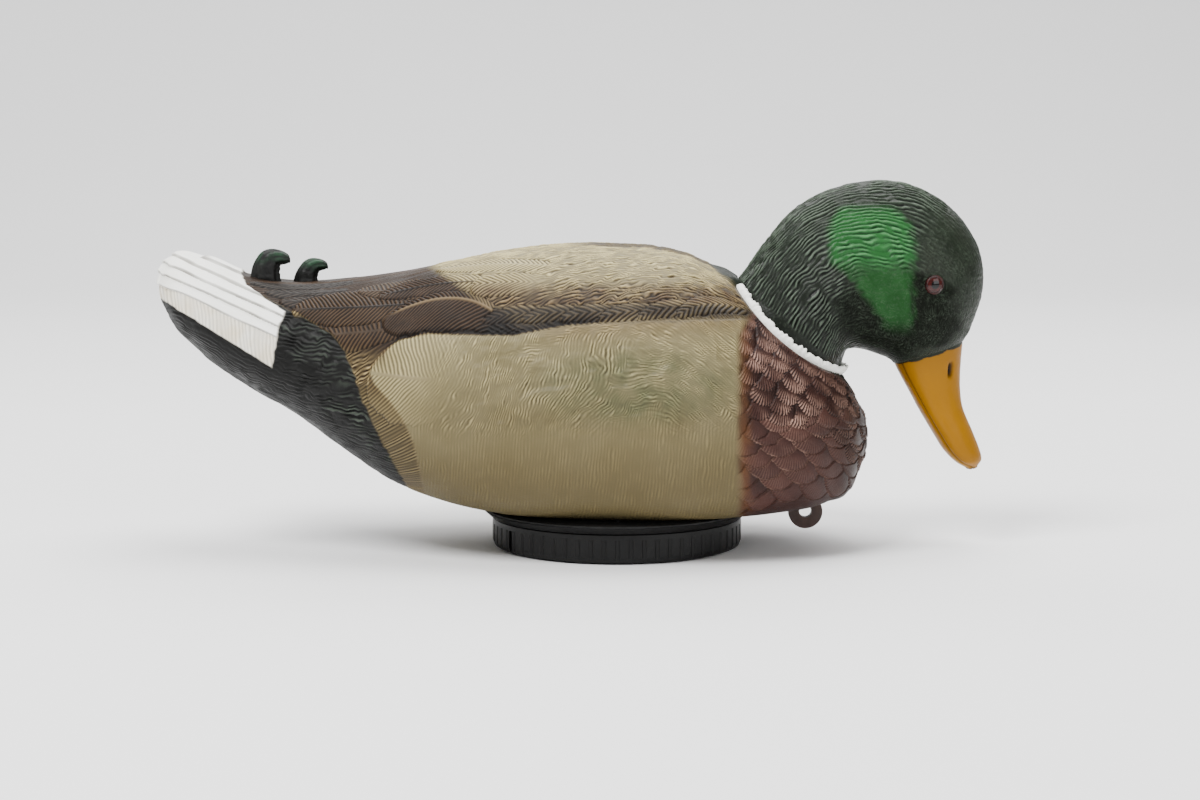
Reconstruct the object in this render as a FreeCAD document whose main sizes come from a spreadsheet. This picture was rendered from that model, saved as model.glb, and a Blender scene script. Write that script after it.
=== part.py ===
"""Floating mallard drake decoy with a round screw-on base that closes its motor housing.

Frame: millimetres, +Z up, +X towards the bird's head. The origin is the centre of the flat
underside of the base, on the axis of the screw ring.
"""
import FreeCAD, Part
import math
import os

import Sketcher
from FreeCAD import Placement, Rotation, Vector

# Driving dimensions: alias, millimetres (or a count), what it is.
DIMENSIONS = [
    ("hull_wall", 2.5, "wall of the hollow body and head"),
    ("hull_seat", 18.6, "height of the flat seat under the hull"),
    ("hull_opening", 44.2, "radius of the opening in the hull's floor"),
    ("rim_radius", 51.5, "radius of the thick rim round that opening"),
    ("rim_top", 26.0, "height of the rim's top"),
    ("ring_radius", 60.5, "outside of the screw ring"),
    ("ring_height", 14.4, "height of the screw ring"),
    ("ring_bore", 57.6, "inside wall of the screw ring"),
    ("lip_bore", 50.0, "hole in the screw ring's bottom lip"),
    ("lip_height", 2.4, "thickness of that lip"),
    ("ring_corner", 3.2, "rounding of the ring's bottom edge"),
    ("flute_count", 60, "grip flutes round the ring"),
    ("flute_radius", 1.5, "radius of a flute"),
    ("flute_depth", 0.6, "depth of a flute"),
    ("flute_top", 11.6, "height where the flutes end"),
    ("notch_width", 2.6, "index notch in the ring's side"),
    ("notch_depth", 1.0, "its depth"),
    ("notch_bottom", 1.0, "height where it starts"),
    ("thread_pitch", 4.0, "rise of the thread in one turn"),
    ("thread_turns", 1.25, "length of each ridge in turns"),
    ("thread_start", 8.4, "height where the housing's ridge starts"),
    ("ridge_root", 2.2, "width of a thread ridge at its root"),
    ("ridge_crest", 1.0, "width of a thread ridge at its crest"),
    ("ridge_height", 1.5, "how far a ridge stands out of its wall"),
    ("neck_radius", 55.6, "outside of the housing's threaded neck"),
    ("neck_bore", 51.6, "inside of the threaded neck"),
    ("neck_foot", 7.2, "height of the neck's lower end"),
    ("flange_radius", 64.5, "housing flange at its upper face"),
    ("flange_foot_radius", 61.2, "housing flange at its lower face"),
    ("flange_bottom", 14.7, "height of the flange's lower face"),
    ("gasket_thickness", 1.0, "flat gasket between flange and hull"),
    ("tub_radius", 43.5, "outside of the housing's tub"),
    ("tub_wall", 2.0, "wall of the tub"),
    ("tub_top", 79.0, "height of the tub's closed top"),
    ("disc_radius", 55.6, "closure disc that the ring presses up"),
    ("disc_foot_radius", 49.4, "its lower step, flush with the ring"),
    ("disc_step", 2.6, "height of the step's top"),
    ("disc_top", 5.6, "height of the disc's upper face"),
    ("seal_thickness", 1.5, "flat seal on the disc"),
    ("ballast_radius", 36.0, "steel ballast plate"),
    ("ballast_thickness", 4.0, "its thickness"),
    ("ballast_screw_circle", 28.0, "radius of its screws' circle"),
    ("small_screw", 1.5, "shank radius of the M3 screws"),
    ("flange_screw", 1.6, "shank radius of the flange screws"),
    ("flange_screw_circle", 47.5, "radius of the flange screws' circle"),
    ("screw_play", 0.06, "radial play round a screw"),
    ("cell_radius", 13.1, "C cell"),
    ("cell_length", 48.5, "C cell without its button"),
    ("cell_button", 1.5, "height of the button"),
    ("cell_offset", 19.2, "cell centre from the axis, in X and in Y"),
    ("cover_bottom", 14.8, "battery cover's lower face"),
    ("plate_thickness", 2.0, "battery cover and carrier plate"),
    ("contact_thickness", 0.4, "nickel contact strips"),
    ("carrier_plate", 70.2, "height of the carrier plate's lower face"),
    ("post_circle", 34.0, "carrier posts from the axis"),
    ("post_radius", 4.0, "carrier post"),
    ("sleeve_radius", 13.8, "carrier sleeve round the motor"),
    ("sleeve_bore", 12.6, "its inside"),
    ("motor_radius", 12.2, "motor can"),
    ("motor_bottom", 34.0, "height of the can's open end"),
    ("motor_top", 60.2, "height of the can's closed end"),
    ("can_wall", 0.9, "wall of the can"),
    ("shaft_radius", 1.0, "motor shaft"),
    ("bush_radius", 2.5, "motor bushes"),
    ("running_play", 0.03, "radial play of the shaft in its bushes"),
    ("neck_x", 82.9, "centre of the head's round neck joint"),
    ("neck_z", 107.5, "height of that centre"),
    ("neck_lean", 40.0, "lean of the neck axis from upright, in degrees"),
    ("spigot_radius", 33.0, "head spigot that turns in the hull"),
    ("spigot_play", 0.3, "radial play of the spigot"),
    ("spigot_depth", 14.5, "how far the spigot reaches into the hull"),
    ("spigot_bead", 1.6, "bead that keeps the spigot in, out from it"),
    ("bead_height", 1.9, "height of the bead"),
    ("socket_wall", 6.0, "wall of the hull's socket round the spigot"),
    ("collar_cord", 2.2, "radius of the white neck ring's round section"),
    ("collar_margin", 0.5, "hull left between the neck ring and the socket's bore"),
    ("collar_dip", 4.6, "how far the neck ring dips at the sides"),
    ("eye_radius", 6.5, "curve of the glass eye"),
    ("eye_x", 153.7, "its centre"),
    ("eye_y", 21.2, "its centre, to each side"),
    ("eye_z", 127.0, "its centre"),
    ("line_eye_x", 91.7, "anchor line eye under the breast"),
    ("line_eye_z", 16.1, "height of its centre"),
    ("line_eye_radius", 8.3, "outside of the line eye"),
    ("line_eye_bore", 3.0, "its hole"),
    ("line_eye_thickness", 5.0, "its thickness across the bird"),
    ("stem_width", 10.0, "stem of the line eye, along the bird"),
    ("stem_height", 14.0, "top of the stem above the eye's centre"),
    ("tenon_radius", 6.0, "peg that holds the bill"),
    ("tenon_length", 7.0, "its length inside the head"),
]

# Body sections from tail to breast: x, half width, height of the widest point, top, bottom,
# and the roundness of the upper and lower halves (2 is an ellipse, more is squarer).
BODY_SECTIONS = [
    (-219.0, 14, 127, 137, 120, 2.0, 2.0),
    (-214.0, 26, 123, 141, 110, 2.0, 2.0),
    (-200.0, 36, 113, 140, 94, 2.2, 1.9),
    (-178.0, 41, 102, 131.5, 78, 2.2, 1.9),
    (-154.0, 46, 95, 128, 64, 2.2, 2.0),
    (-129.0, 54, 88, 129.5, 46, 2.2, 2.1),
    (-105.0, 63, 82, 132.5, 31, 2.2, 2.3),
    (-81.0, 70, 78, 137, 23, 2.3, 2.7),
    (-57.0, 75, 76, 142, 18.5, 2.3, 3.0),
    (-8.0, 80, 74, 146, 15.5, 2.3, 3.2),
    (40.0, 77, 70, 138.5, 15.5, 2.3, 3.2),
    (57.0, 73, 68, 129, 16.5, 2.2, 3.1),
    (75.0, 67, 66, 114.3, 18, 2.2, 3.0),
    (100.0, 53, 62, 93, 22, 2.1, 2.6),
    (113.0, 38, 59, 77, 28.5, 2.0, 2.2),
    (120.0, 18, 56, 64, 44, 2.0, 2.0),
]

# Head sections from the neck ring to the bill, fanned round the throat: the crown point (x, z),
# the throat point (x, z), the half width, and where across the section it is widest.
HEAD_SECTIONS = [
    (57.8, 128.6, 108.0, 86.4, 32.8, 0.5),
    (62.5, 134.0, 109.4, 92.0, 32.4, 0.5),
    (72.0, 147.5, 111.2, 95.3, 31.0, 0.5),
    (87.5, 164.5, 114.5, 96.0, 29.5, 0.5),
    (111.5, 175.0, 120.0, 95.0, 29.0, 0.48),
    (136.5, 175.5, 125.5, 93.2, 28.5, 0.46),
    (159.0, 165.0, 129.5, 91.7, 27.5, 0.45),
    (173.5, 146.0, 132.0, 90.4, 25.5, 0.44),
    (176.5, 126.0, 133.2, 89.4, 22.0, 0.44),
    (171.5, 107.5, 133.7, 88.9, 18.0, 0.45),
    (166.8, 96.7, 133.9, 88.7, 14.5, 0.46),
]

# Bill sections from its base to its tip, in the same terms: ridge point, lower point, half width.
BILL_SECTIONS = [
    (166.6, 96.6, 134.0, 88.7, 13.2, 0.42),
    (166.3, 86.0, 136.8, 83.5, 12.2, 0.40),
    (166.4, 75.0, 141.5, 75.0, 11.6, 0.38),
    (168.0, 66.0, 147.0, 65.0, 11.6, 0.38),
    (172.3, 56.0, 153.0, 55.0, 12.2, 0.40),
    (175.8, 47.5, 158.5, 46.5, 12.0, 0.40),
    (177.2, 42.0, 164.0, 41.3, 10.0, 0.42),
    (175.4, 38.6, 169.5, 38.0, 5.0, 0.5),
]

# The curled tail feathers: centre (x, z) of each section, its half thickness along the bird and
# across it, and the tilt of its plane in degrees. They start under the hull's skin.
REAR_CURL = [
    (-169.5, 125.0, 6.3, 3.6, 0),
    (-169.5, 133.0, 5.6, 3.2, 4),
    (-167.6, 139.0, 4.6, 2.8, 35),
    (-163.0, 141.4, 3.4, 2.3, 75),
    (-158.4, 139.2, 2.0, 1.5, 120),
]
FRONT_CURL = [
    (-149.0, 123.0, 5.4, 3.2, 0),
    (-148.8, 131.0, 4.7, 2.8, 6),
    (-146.6, 135.6, 3.9, 2.5, 38),
    (-142.4, 137.6, 2.9, 2.0, 75),
    (-138.4, 136.0, 1.7, 1.3, 112),
]
CURL_SIDE = {"rear": -3.0, "front": 5.0}

FLANGE_SCREWS = 8
BALLAST_SCREWS = 3
NOTCH_ANGLE = 212.85
FIT_PLAY = 0.05
SECTION_POINTS = 24
END_GAP = 3.0
SPRING_RADIUS = 5.0
SPRING_WIRE = 0.35
SPRING_TURNS = 2

doc = FreeCAD.newDocument("duck_decoy")
dims = doc.addObject("Spreadsheet::Sheet", "Dims")
for row, (alias, size, meaning) in enumerate(DIMENSIONS, start=1):
    dims.set(f"A{row}", str(size))
    dims.setAlias(f"A{row}", alias)
    dims.set(f"B{row}", meaning)
doc.recompute()

nodes = []


def value(expression):
    """The number that an expression on the sheet gives now."""
    return float(dims.evalExpression(dotted(expression)))


def dotted(expression):
    """The expression with each alias written as the sheet's own property."""
    words = str(expression).replace("(", " ( ").replace(")", " ) ").split()
    known = {alias for alias, _, _ in DIMENSIONS}
    return " ".join(f"Dims.{word}" if word in known else word for word in words)


def bind(thing, **sizes):
    """Binds properties to expressions; a double underscore stands for a dot."""
    for name, expression in sizes.items():
        thing.setExpression(name.replace("__", "."), dotted(expression))
    return thing


def node(thing, label):
    """Marks a finished object as one sub-part with its own name."""
    thing.Label = label
    nodes.append(thing)
    return thing


def at(thing, x="0", y="0", z="0"):
    return bind(thing, Placement__Base__x=x, Placement__Base__y=y, Placement__Base__z=z)


def cylinder(name, radius, height, z, x="0", y="0"):
    """An upright cylinder standing on height z."""
    return at(bind(doc.addObject("Part::Cylinder", name), Radius=radius, Height=height), x, y, z)


def box(name, length, width, height, x, y, z):
    """A box centred on x and y, standing on height z."""
    solid = bind(doc.addObject("Part::Box", name), Length=length, Width=width, Height=height)
    return at(solid, f"{x} - ( {length} ) / 2", f"{y} - ( {width} ) / 2", z)


def fuse(name, *solids):
    result = doc.addObject("Part::MultiFuse", name)
    result.Shapes = list(solids)
    return result


def cut(name, base, tool):
    result = doc.addObject("Part::Cut", name)
    result.Base = base
    result.Tool = tool
    return result


def group(name, *solids):
    """Identical loose pieces kept together as separate solids."""
    result = doc.addObject("Part::Compound", name)
    result.Links = list(solids)
    return result


def turned(name, profile):
    """A body turned about Z from (radius, height) corners, each bound to the sheet."""
    body = doc.addObject("PartDesign::Body", name)
    sketch = body.newObject("Sketcher::SketchObject", name + "_profile")
    plane = next(f for f in body.Origin.OriginFeatures if f.Role == "XZ_Plane")
    sketch.AttachmentSupport = [(plane, "")]
    sketch.MapMode = "FlatFace"
    corners = [Vector(value(r), value(z), 0) for r, z in profile]
    count = len(corners)
    for i in range(count):
        sketch.addGeometry(Part.LineSegment(corners[i], corners[(i + 1) % count]))
    for i in range(count):
        sketch.addConstraint(Sketcher.Constraint("Coincident", i, 2, (i + 1) % count, 1))
        for kind, number, expression in (
            ("DistanceX", corners[i].x, profile[i][0]),
            ("DistanceY", corners[i].y, profile[i][1]),
        ):
            made = sketch.addConstraint(Sketcher.Constraint(kind, -1, 1, i, 1, number))
            sketch.renameConstraint(made, f"{kind}{i}")
            sketch.setExpression(f"Constraints.{kind}{i}", dotted(expression))
    doc.recompute()
    turn = body.newObject("PartDesign::Revolution", name + "_turn")
    turn.Profile = sketch
    turn.ReferenceAxis = (sketch, ["V_Axis"])
    turn.Angle = 360
    body.Tip = turn
    doc.recompute()
    return body


def around(count, first=0.0):
    """Angles, in degrees, of pieces spaced evenly round the axis."""
    return [first + 360.0 * i / count for i in range(count)]


def polar(radius, angle):
    """Expressions for the x and y of a place at an angle on a circle."""
    turn = math.radians(angle)
    return f"{radius} * {math.cos(turn):.6f}", f"{radius} * {math.sin(turn):.6f}"


def screw(name, shank, length, head, head_height, x, y, z):
    """A screw pointing up whose head's upper face lies at height z."""
    shaft = cylinder(name + "_shank", shank, f"{length} + {head_height}", f"{z} - {head_height}", x, y)
    cap = cylinder(name + "_head", head, head_height, f"{z} - {head_height}", x, y)
    return fuse(name, shaft, cap)


def ridge(name, wall, inward, start, turn):
    """A helical thread ridge on a round wall, starting at an angle about the axis."""
    helix = doc.addObject("Part::Helix", name + "_path")
    bind(helix, Pitch="thread_pitch", Height="thread_pitch * thread_turns", Radius=wall)
    at(helix, z=start)
    side = -1 if inward else 1
    root, crest = value("ridge_root") / 2, value("ridge_crest") / 2
    foot = value(wall) - side * 0.5
    tip = value(wall) + side * value("ridge_height")
    height = value(start)
    section = doc.addObject("Part::Polygon", name + "_section")
    section.Nodes = [
        Vector(foot, 0, height - root),
        Vector(tip, 0, height - crest),
        Vector(tip, 0, height + crest),
        Vector(foot, 0, height + root),
    ]
    section.Close = True
    sweep = doc.addObject("Part::Sweep", name)
    sweep.Sections = [section]
    sweep.Spine = (helix, ["Edge1"])
    sweep.Solid = True
    sweep.Frenet = True
    sweep.Placement.Rotation = Rotation(Vector(0, 0, 1), turn)
    return sweep


def made(name, shape):
    """A free-form piece whose shape is computed here from the sheet's sizes."""
    result = doc.addObject("Part::Feature", name)
    result.Shape = shape
    return result


# --- free-form shells -------------------------------------------------------------------------


def closed_curve(points):
    """A smooth closed curve through evenly numbered points."""
    curve = Part.BSplineCurve()
    count = len(points)
    curve.interpolate(points, PeriodicFlag=True, Parameters=[i / count for i in range(count + 1)])
    return curve


def body_curve(section, inset=0.0):
    """One cross-section of the body, a superellipse with its own upper and lower roundness."""
    x, half_width, widest, top, bottom, upper, lower = section
    half_width, top, bottom = half_width - inset, top - inset, bottom + inset
    points = []
    for i in range(SECTION_POINTS):
        angle = 2 * math.pi * i / SECTION_POINTS
        across, along = math.cos(angle), math.sin(angle)
        power = 2 / (upper if along >= 0 else lower)
        reach = top - widest if along >= 0 else widest - bottom
        y = half_width * math.copysign(abs(across) ** power, across)
        z = widest + reach * math.copysign(abs(along) ** power, along)
        points.append(Vector(x, y, z))
    return closed_curve(points)


def fan_curve(section, inset=0.0):
    """One cross-section of the head or bill, in the plane of its two outline points."""
    crown_x, crown_z, throat_x, throat_z, half_width, widest = section
    crown, throat = Vector(crown_x, 0, crown_z), Vector(throat_x, 0, throat_z)
    run = (crown - throat).normalize()
    crown, throat, half_width = crown - run * inset, throat + run * inset, half_width - inset
    points = []
    for i in range(SECTION_POINTS):
        angle = 2 * math.pi * i / SECTION_POINTS
        rise = math.sin(angle)
        place = widest + (1 - widest if rise >= 0 else widest) * rise
        point = throat + (crown - throat) * place
        points.append(Vector(point.x, half_width * math.cos(angle), point.z))
    return closed_curve(points)


def loft(curves):
    """A solid skinned over closed curves, with flat ends."""
    surface = Part.BSplineSurface()
    surface.buildFromNSections(curves)
    ends = [Part.Face(Part.Wire(curve.toShape())) for curve in (curves[0], curves[-1])]
    shell = Part.Shell([surface.toShape(), *ends])
    shell.sewShape()
    return Part.Solid(shell)


def tube_along(origin, direction, low, high, radius):
    """A solid cylinder on an axis, between two distances from its origin."""
    return Part.makeCylinder(radius, high - low, origin + direction * low, direction)


def neck_axis():
    lean = math.radians(value("neck_lean"))
    return Vector(value("neck_x"), 0, value("neck_z")), Vector(math.sin(lean), 0, math.cos(lean))


def collar_path():
    """The closed line of the neck ring: a circle that dips where the body's sides fall away."""
    centre, axis = neck_axis()
    radius = value("spigot_radius + spigot_play + collar_cord + collar_margin")
    forward = Vector(axis.z, 0, -axis.x)
    points = []
    for i in range(SECTION_POINTS):
        angle = 2 * math.pi * i / SECTION_POINTS
        side = math.sin(angle)
        point = centre + forward * (radius * math.cos(angle)) + Vector(0, radius * side, 0)
        points.append(point - axis * (value("collar_dip") * side * side))
    return points


def collar_shape(cord):
    """The neck ring: a round cord along its dipping path, swept in two halves."""
    halves = []
    for start, end in ((0.0, 0.5), (0.5, 1.0)):
        path = closed_curve(collar_path())
        path.segment(start, end)
        section = Part.Wire(Part.makeCircle(cord, path.value(start), path.tangent(start)[0]))
        halves.append(Part.Wire(path.toShape()).makePipeShell([section], True, False))
    return halves[0].fuse(halves[1])


def curl_shape(sections, side, grow=0.0):
    """A curled feather: ellipses lofted along its hook."""
    curves = []
    for x, z, along, across, tilt in sections:
        lean = math.radians(tilt)
        forward = Vector(math.cos(lean), 0, -math.sin(lean))
        points = []
        for i in range(12):
            angle = 2 * math.pi * i / 12
            offset = forward * ((along + grow) * math.cos(angle))
            points.append(Vector(x, side + (across + grow) * math.sin(angle), z) + offset)
        curves.append(closed_curve(points))
    return loft(curves)


def line_eye_shape(grow=0.0):
    """The anchor line's eye: a round tab with a stem up through the hull's floor."""
    x, z = value("line_eye_x"), value("line_eye_z")
    half = value("line_eye_thickness") / 2 + grow
    across = Vector(0, 1, 0)
    tab = Part.makeCylinder(value("line_eye_radius") + grow, 2 * half, Vector(x, -half, z), across)
    stem_half = value("stem_width") / 2 + grow
    stem = Part.makeBox(2 * stem_half, 2 * half, value("stem_height"), Vector(x - stem_half, -half, z))
    return tab.fuse(stem)


def eye_ball(side, grow=0.0):
    centre = Vector(value("eye_x"), side * value("eye_y"), value("eye_z"))
    return Part.makeSphere(value("eye_radius") + grow, centre)


def bill_tenon(grow=0.0):
    """A round peg that holds the bill in the head's end."""
    ridge_x, ridge_z, lower_x, lower_z, _, _ = BILL_SECTIONS[0]
    ridge_point, lower_point = Vector(ridge_x, 0, ridge_z), Vector(lower_x, 0, lower_z)
    run = (ridge_point - lower_point).normalize()
    inward = Vector(-run.z, 0, run.x)
    length, radius = value("tenon_length") + grow, value("tenon_radius") + grow
    return tube_along((ridge_point + lower_point) / 2, inward, -2, length, radius)


def hull_shape():
    """The hollow body with its floor seat, neck socket and the seats of the pieces on it."""
    wall = value("hull_wall")
    centre, axis = neck_axis()
    outer = loft([body_curve(section) for section in BODY_SECTIONS])
    outer = outer.cut(collar_shape(value("collar_cord") + FIT_PLAY))
    first, last = BODY_SECTIONS[0], BODY_SECTIONS[-1]
    tail_end, breast_end = (first[0] + END_GAP, *first[1:]), (last[0] - END_GAP, *last[1:])
    sections = [tail_end, *BODY_SECTIONS[1:-1], breast_end]
    shell = outer.cut(loft([body_curve(section, wall) for section in sections]))
    bore = value("spigot_radius + spigot_play")
    socket_end = value("bead_height + spigot_play - spigot_depth")
    socket = tube_along(centre, axis, socket_end, 14, bore + value("socket_wall")).common(outer)
    seat, up = value("hull_seat"), Vector(0, 0, 1)
    plate = Part.makeCylinder(value("flange_radius") + 2, 3, Vector(0, 0, seat), up)
    rim = Part.makeCylinder(value("rim_radius"), value("rim_top") - seat, Vector(0, 0, seat), up)
    hull = shell.fuse([socket, plate.common(outer), rim])
    hull = hull.cut(tube_along(centre, axis, -30, 60, bore))
    hull = hull.cut(Part.makeCylinder(value("hull_opening"), 40, Vector(0, 0, 0), up))
    hull = hull.cut(Part.makeCylinder(value("flange_radius") + 0.3, seat, Vector(0, 0, 0), up))
    for angle in around(FLANGE_SCREWS):
        place = Rotation(up, angle).multVec(Vector(value("flange_screw_circle"), 0, seat - 1))
        hull = hull.cut(Part.makeCylinder(value("flange_screw + screw_play"), 30, place, up))
    hull = hull.cut(curl_shape(REAR_CURL, CURL_SIDE["rear"], FIT_PLAY))
    hull = hull.cut(curl_shape(FRONT_CURL, CURL_SIDE["front"], FIT_PLAY))
    return biggest(hull.cut(line_eye_shape(FIT_PLAY)))


def head_shape():
    """The hollow head with its turning spigot, eye sockets and the bill's socket."""
    wall, depth = value("hull_wall"), value("spigot_depth")
    centre, axis = neck_axis()
    outside = value("spigot_radius")
    outer = loft([fan_curve(section) for section in HEAD_SECTIONS])
    spigot = tube_along(centre, axis, -depth, 0.5, outside)
    bead_radius = outside + value("spigot_bead")
    bead = tube_along(centre, axis, -depth, value("bead_height") - depth, bead_radius)
    inner = loft([fan_curve(section, wall) for section in HEAD_SECTIONS[:-1]])
    bore = tube_along(centre, axis, -depth - 1, 1, outside - wall)
    head = outer.fuse([spigot, bead]).cut(inner).cut(bore).cut(bill_tenon(0.1))
    for side in (-1, 1):
        head = head.cut(eye_ball(side, FIT_PLAY))
    return biggest(head)


def biggest(shape):
    """The main solid, without slivers that a cut leaves."""
    return max(shape.Solids, key=lambda solid: solid.Volume)


def eye_shape(side):
    """A glass eye: a ball with its back cut flat inside the head."""
    ball = eye_ball(side)
    back, reach = value("eye_y") + 0.5, 10
    near = back if side > 0 else -back - reach
    corner = Vector(value("eye_x") - reach, near, value("eye_z") - reach)
    return ball.common(Part.makeBox(2 * reach, reach, 2 * reach, corner))


hull = node(made("hull", hull_shape()), "body_shell")
collar = made("collar", collar_shape(value("collar_cord")))
head = node(made("head", head_shape()), "head_shell")
node(collar, "neck_ring")
bill_loft = loft([fan_curve(section) for section in BILL_SECTIONS])
node(made("bill", bill_loft.fuse(bill_tenon()).removeSplitter()), "bill")
node(made("eye_right", eye_shape(-1)), "eye_right")
node(made("eye_left", eye_shape(1)), "eye_left")
node(made("rear_curl", curl_shape(REAR_CURL, CURL_SIDE["rear"])), "tail_curl_rear")
node(made("front_curl", curl_shape(FRONT_CURL, CURL_SIDE["front"])), "tail_curl_front")
line_eye = line_eye_shape()
line_hole = Part.makeCylinder(
    value("line_eye_bore"), 20, Vector(value("line_eye_x"), -10, value("line_eye_z")), Vector(0, 1, 0)
)
node(made("line_eye", line_eye.cut(line_hole).removeSplitter()), "anchor_eye")

# --- motor housing, fixed under the hull ------------------------------------------------------

flange_top = "hull_seat - gasket_thickness"
housing_turn = turned(
    "housing_turn",
    [
        ("tub_radius - tub_wall", "flange_bottom"),
        ("neck_bore", "flange_bottom"),
        ("neck_bore", "neck_foot"),
        ("neck_radius", "neck_foot"),
        ("neck_radius", "flange_bottom"),
        ("flange_foot_radius", "flange_bottom"),
        ("flange_radius", flange_top),
        ("tub_radius", flange_top),
        ("tub_radius", "tub_top"),
        ("0", "tub_top"),
        ("0", "tub_top - tub_wall"),
        ("tub_radius - tub_wall", "tub_top - tub_wall"),
    ],
)
housing_ridge = ridge("housing_ridge", "neck_radius", False, "thread_start", 0)
plate_top = "carrier_plate + plate_thickness"
boss_height = f"tub_top - tub_wall - ( {plate_top} ) + 0.5"
bosses = [
    cylinder(f"housing_boss_{i}", "post_radius", boss_height, plate_top, x)
    for i, x in enumerate(("post_circle", "0 - post_circle"))
]
flange_holes = []
for i, angle in enumerate(around(FLANGE_SCREWS)):
    x, y = polar("flange_screw_circle", angle)
    flange_holes.append(cylinder(f"flange_hole_{i}", "flange_screw + screw_play", "20", "5", x, y))
boss_holes = [
    cylinder(f"boss_hole_{i}", "small_screw + screw_play", "6", f"{plate_top} - 1", x)
    for i, x in enumerate(("post_circle", "0 - post_circle"))
]
housing_holes = fuse("housing_holes", *flange_holes, *boss_holes)
housing = cut("housing", fuse("housing_solid", housing_turn, housing_ridge, *bosses), housing_holes)
node(housing, "motor_housing")

gasket_ring = turned(
    "gasket_ring",
    [
        ("hull_opening", flange_top),
        ("flange_radius - 0.5", flange_top),
        ("flange_radius - 0.5", "hull_seat"),
        ("hull_opening", "hull_seat"),
    ],
)
gasket_holes = []
flange_screws = []
for i, angle in enumerate(around(FLANGE_SCREWS)):
    x, y = polar("flange_screw_circle", angle)
    gasket_holes.append(cylinder(f"gasket_hole_{i}", "flange_screw + screw_play", "4", "16", x, y))
    fastener = screw(f"flange_screw_{i}", "flange_screw", "10", "3", "2", x, y, "flange_bottom")
    flange_screws.append(fastener)
node(cut("gasket", gasket_ring, fuse("gasket_holes", *gasket_holes)), "flange_gasket")
node(group("flange_screw_set", *flange_screws), "flange_screws")

# --- screw-on closure: ring, disc, seal and ballast -------------------------------------------

ring_turn = turned(
    "ring_turn",
    [
        ("lip_bore", "0"),
        ("ring_radius - ring_corner", "0"),
        ("ring_radius - ring_corner * 0.29", "ring_corner * 0.29"),
        ("ring_radius", "ring_corner"),
        ("ring_radius", "ring_height - 0.5"),
        ("ring_radius - 0.5", "ring_height"),
        ("ring_bore", "ring_height"),
        ("ring_bore", "lip_height"),
        ("lip_bore", "lip_height"),
    ],
)
flute = ring_turn.newObject("Sketcher::SketchObject", "flute_profile")
flute_plane = next(f for f in ring_turn.Origin.OriginFeatures if f.Role == "XY_Plane")
flute.AttachmentSupport = [(flute_plane, "")]
flute.MapMode = "FlatFace"
flute_centre = "ring_radius + flute_radius - flute_depth"
flute.addGeometry(Part.Circle(Vector(value(flute_centre), 0, 0), Vector(0, 0, 1), value("flute_radius")))
flute.addConstraint(Sketcher.Constraint("PointOnObject", 0, 3, -1))
flute.addConstraint(Sketcher.Constraint("DistanceX", -1, 1, 0, 3, value(flute_centre)))
flute.addConstraint(Sketcher.Constraint("Radius", 0, value("flute_radius")))
flute.setExpression("Constraints[1]", dotted(flute_centre))
flute.setExpression("Constraints[2]", dotted("flute_radius"))
doc.recompute()
flute_pocket = ring_turn.newObject("PartDesign::Pocket", "flute_pocket")
flute_pocket.Profile = flute
flute_pocket.Reversed = True
bind(flute_pocket, Length="flute_top")
doc.recompute()
flutes = ring_turn.newObject("PartDesign::PolarPattern", "flutes")
flutes.Originals = [flute_pocket]
flutes.Axis = (flute, ["N_Axis"])
flutes.Angle = 360
bind(flutes, Occurrences="flute_count")
ring_turn.Tip = flutes
doc.recompute()
# The ring's ridge sits half a pitch below the housing's and starts a ninth of a turn later.
ring_ridge_start = "thread_start - thread_pitch / 2 + thread_pitch / 9"
ring_ridge = ridge("ring_ridge", "ring_bore", True, ring_ridge_start, 40)
notch_height = "flute_top - notch_bottom"
notch = box("notch", "notch_depth * 2", "notch_width", notch_height, "ring_radius", "0", "notch_bottom")
notch_holder = group("notch_turned", notch)
notch_holder.Placement.Rotation = Rotation(Vector(0, 0, 1), NOTCH_ANGLE)
node(cut("ring", fuse("ring_solid", ring_turn, ring_ridge), notch_holder), "screw_ring")

disc_turn = turned(
    "disc_turn",
    [
        ("0", "0"),
        ("disc_foot_radius", "0"),
        ("disc_foot_radius", "disc_step"),
        ("disc_radius", "disc_step"),
        ("disc_radius", "disc_top"),
        ("0", "disc_top"),
    ],
)
ballast_disc = cylinder("ballast_disc", "ballast_radius", "ballast_thickness", "disc_top")
ballast_screws, disc_holes = [], []
for i, angle in enumerate(around(BALLAST_SCREWS, 90)):
    x, y = polar("ballast_screw_circle", angle)
    disc_holes.append(cylinder(f"disc_hole_{i}", "small_screw + screw_play", "20", "1.8", x, y))
    shank_bottom = "disc_top + ballast_thickness - 7.5"
    shank = cylinder(f"ballast_shank_{i}", "small_screw", "9", shank_bottom, x, y)
    cap = cylinder(f"ballast_head_{i}", "2.8", "1.8", "disc_top + ballast_thickness", x, y)
    ballast_screws.append(fuse(f"ballast_screw_{i}", shank, cap))
disc_drill = fuse("disc_drill", *disc_holes)
node(cut("disc", disc_turn, disc_drill), "closure_disc")
node(cut("ballast", ballast_disc, disc_drill), "ballast_plate")
node(group("ballast_screw_set", *ballast_screws), "ballast_screws")
seal = turned(
    "seal",
    [
        ("neck_bore", "disc_top"),
        ("disc_radius", "disc_top"),
        ("disc_radius", "disc_top + seal_thickness"),
        ("neck_bore", "disc_top + seal_thickness"),
    ],
)
node(seal, "closure_seal")

# --- battery carrier inside the housing -------------------------------------------------------

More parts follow.
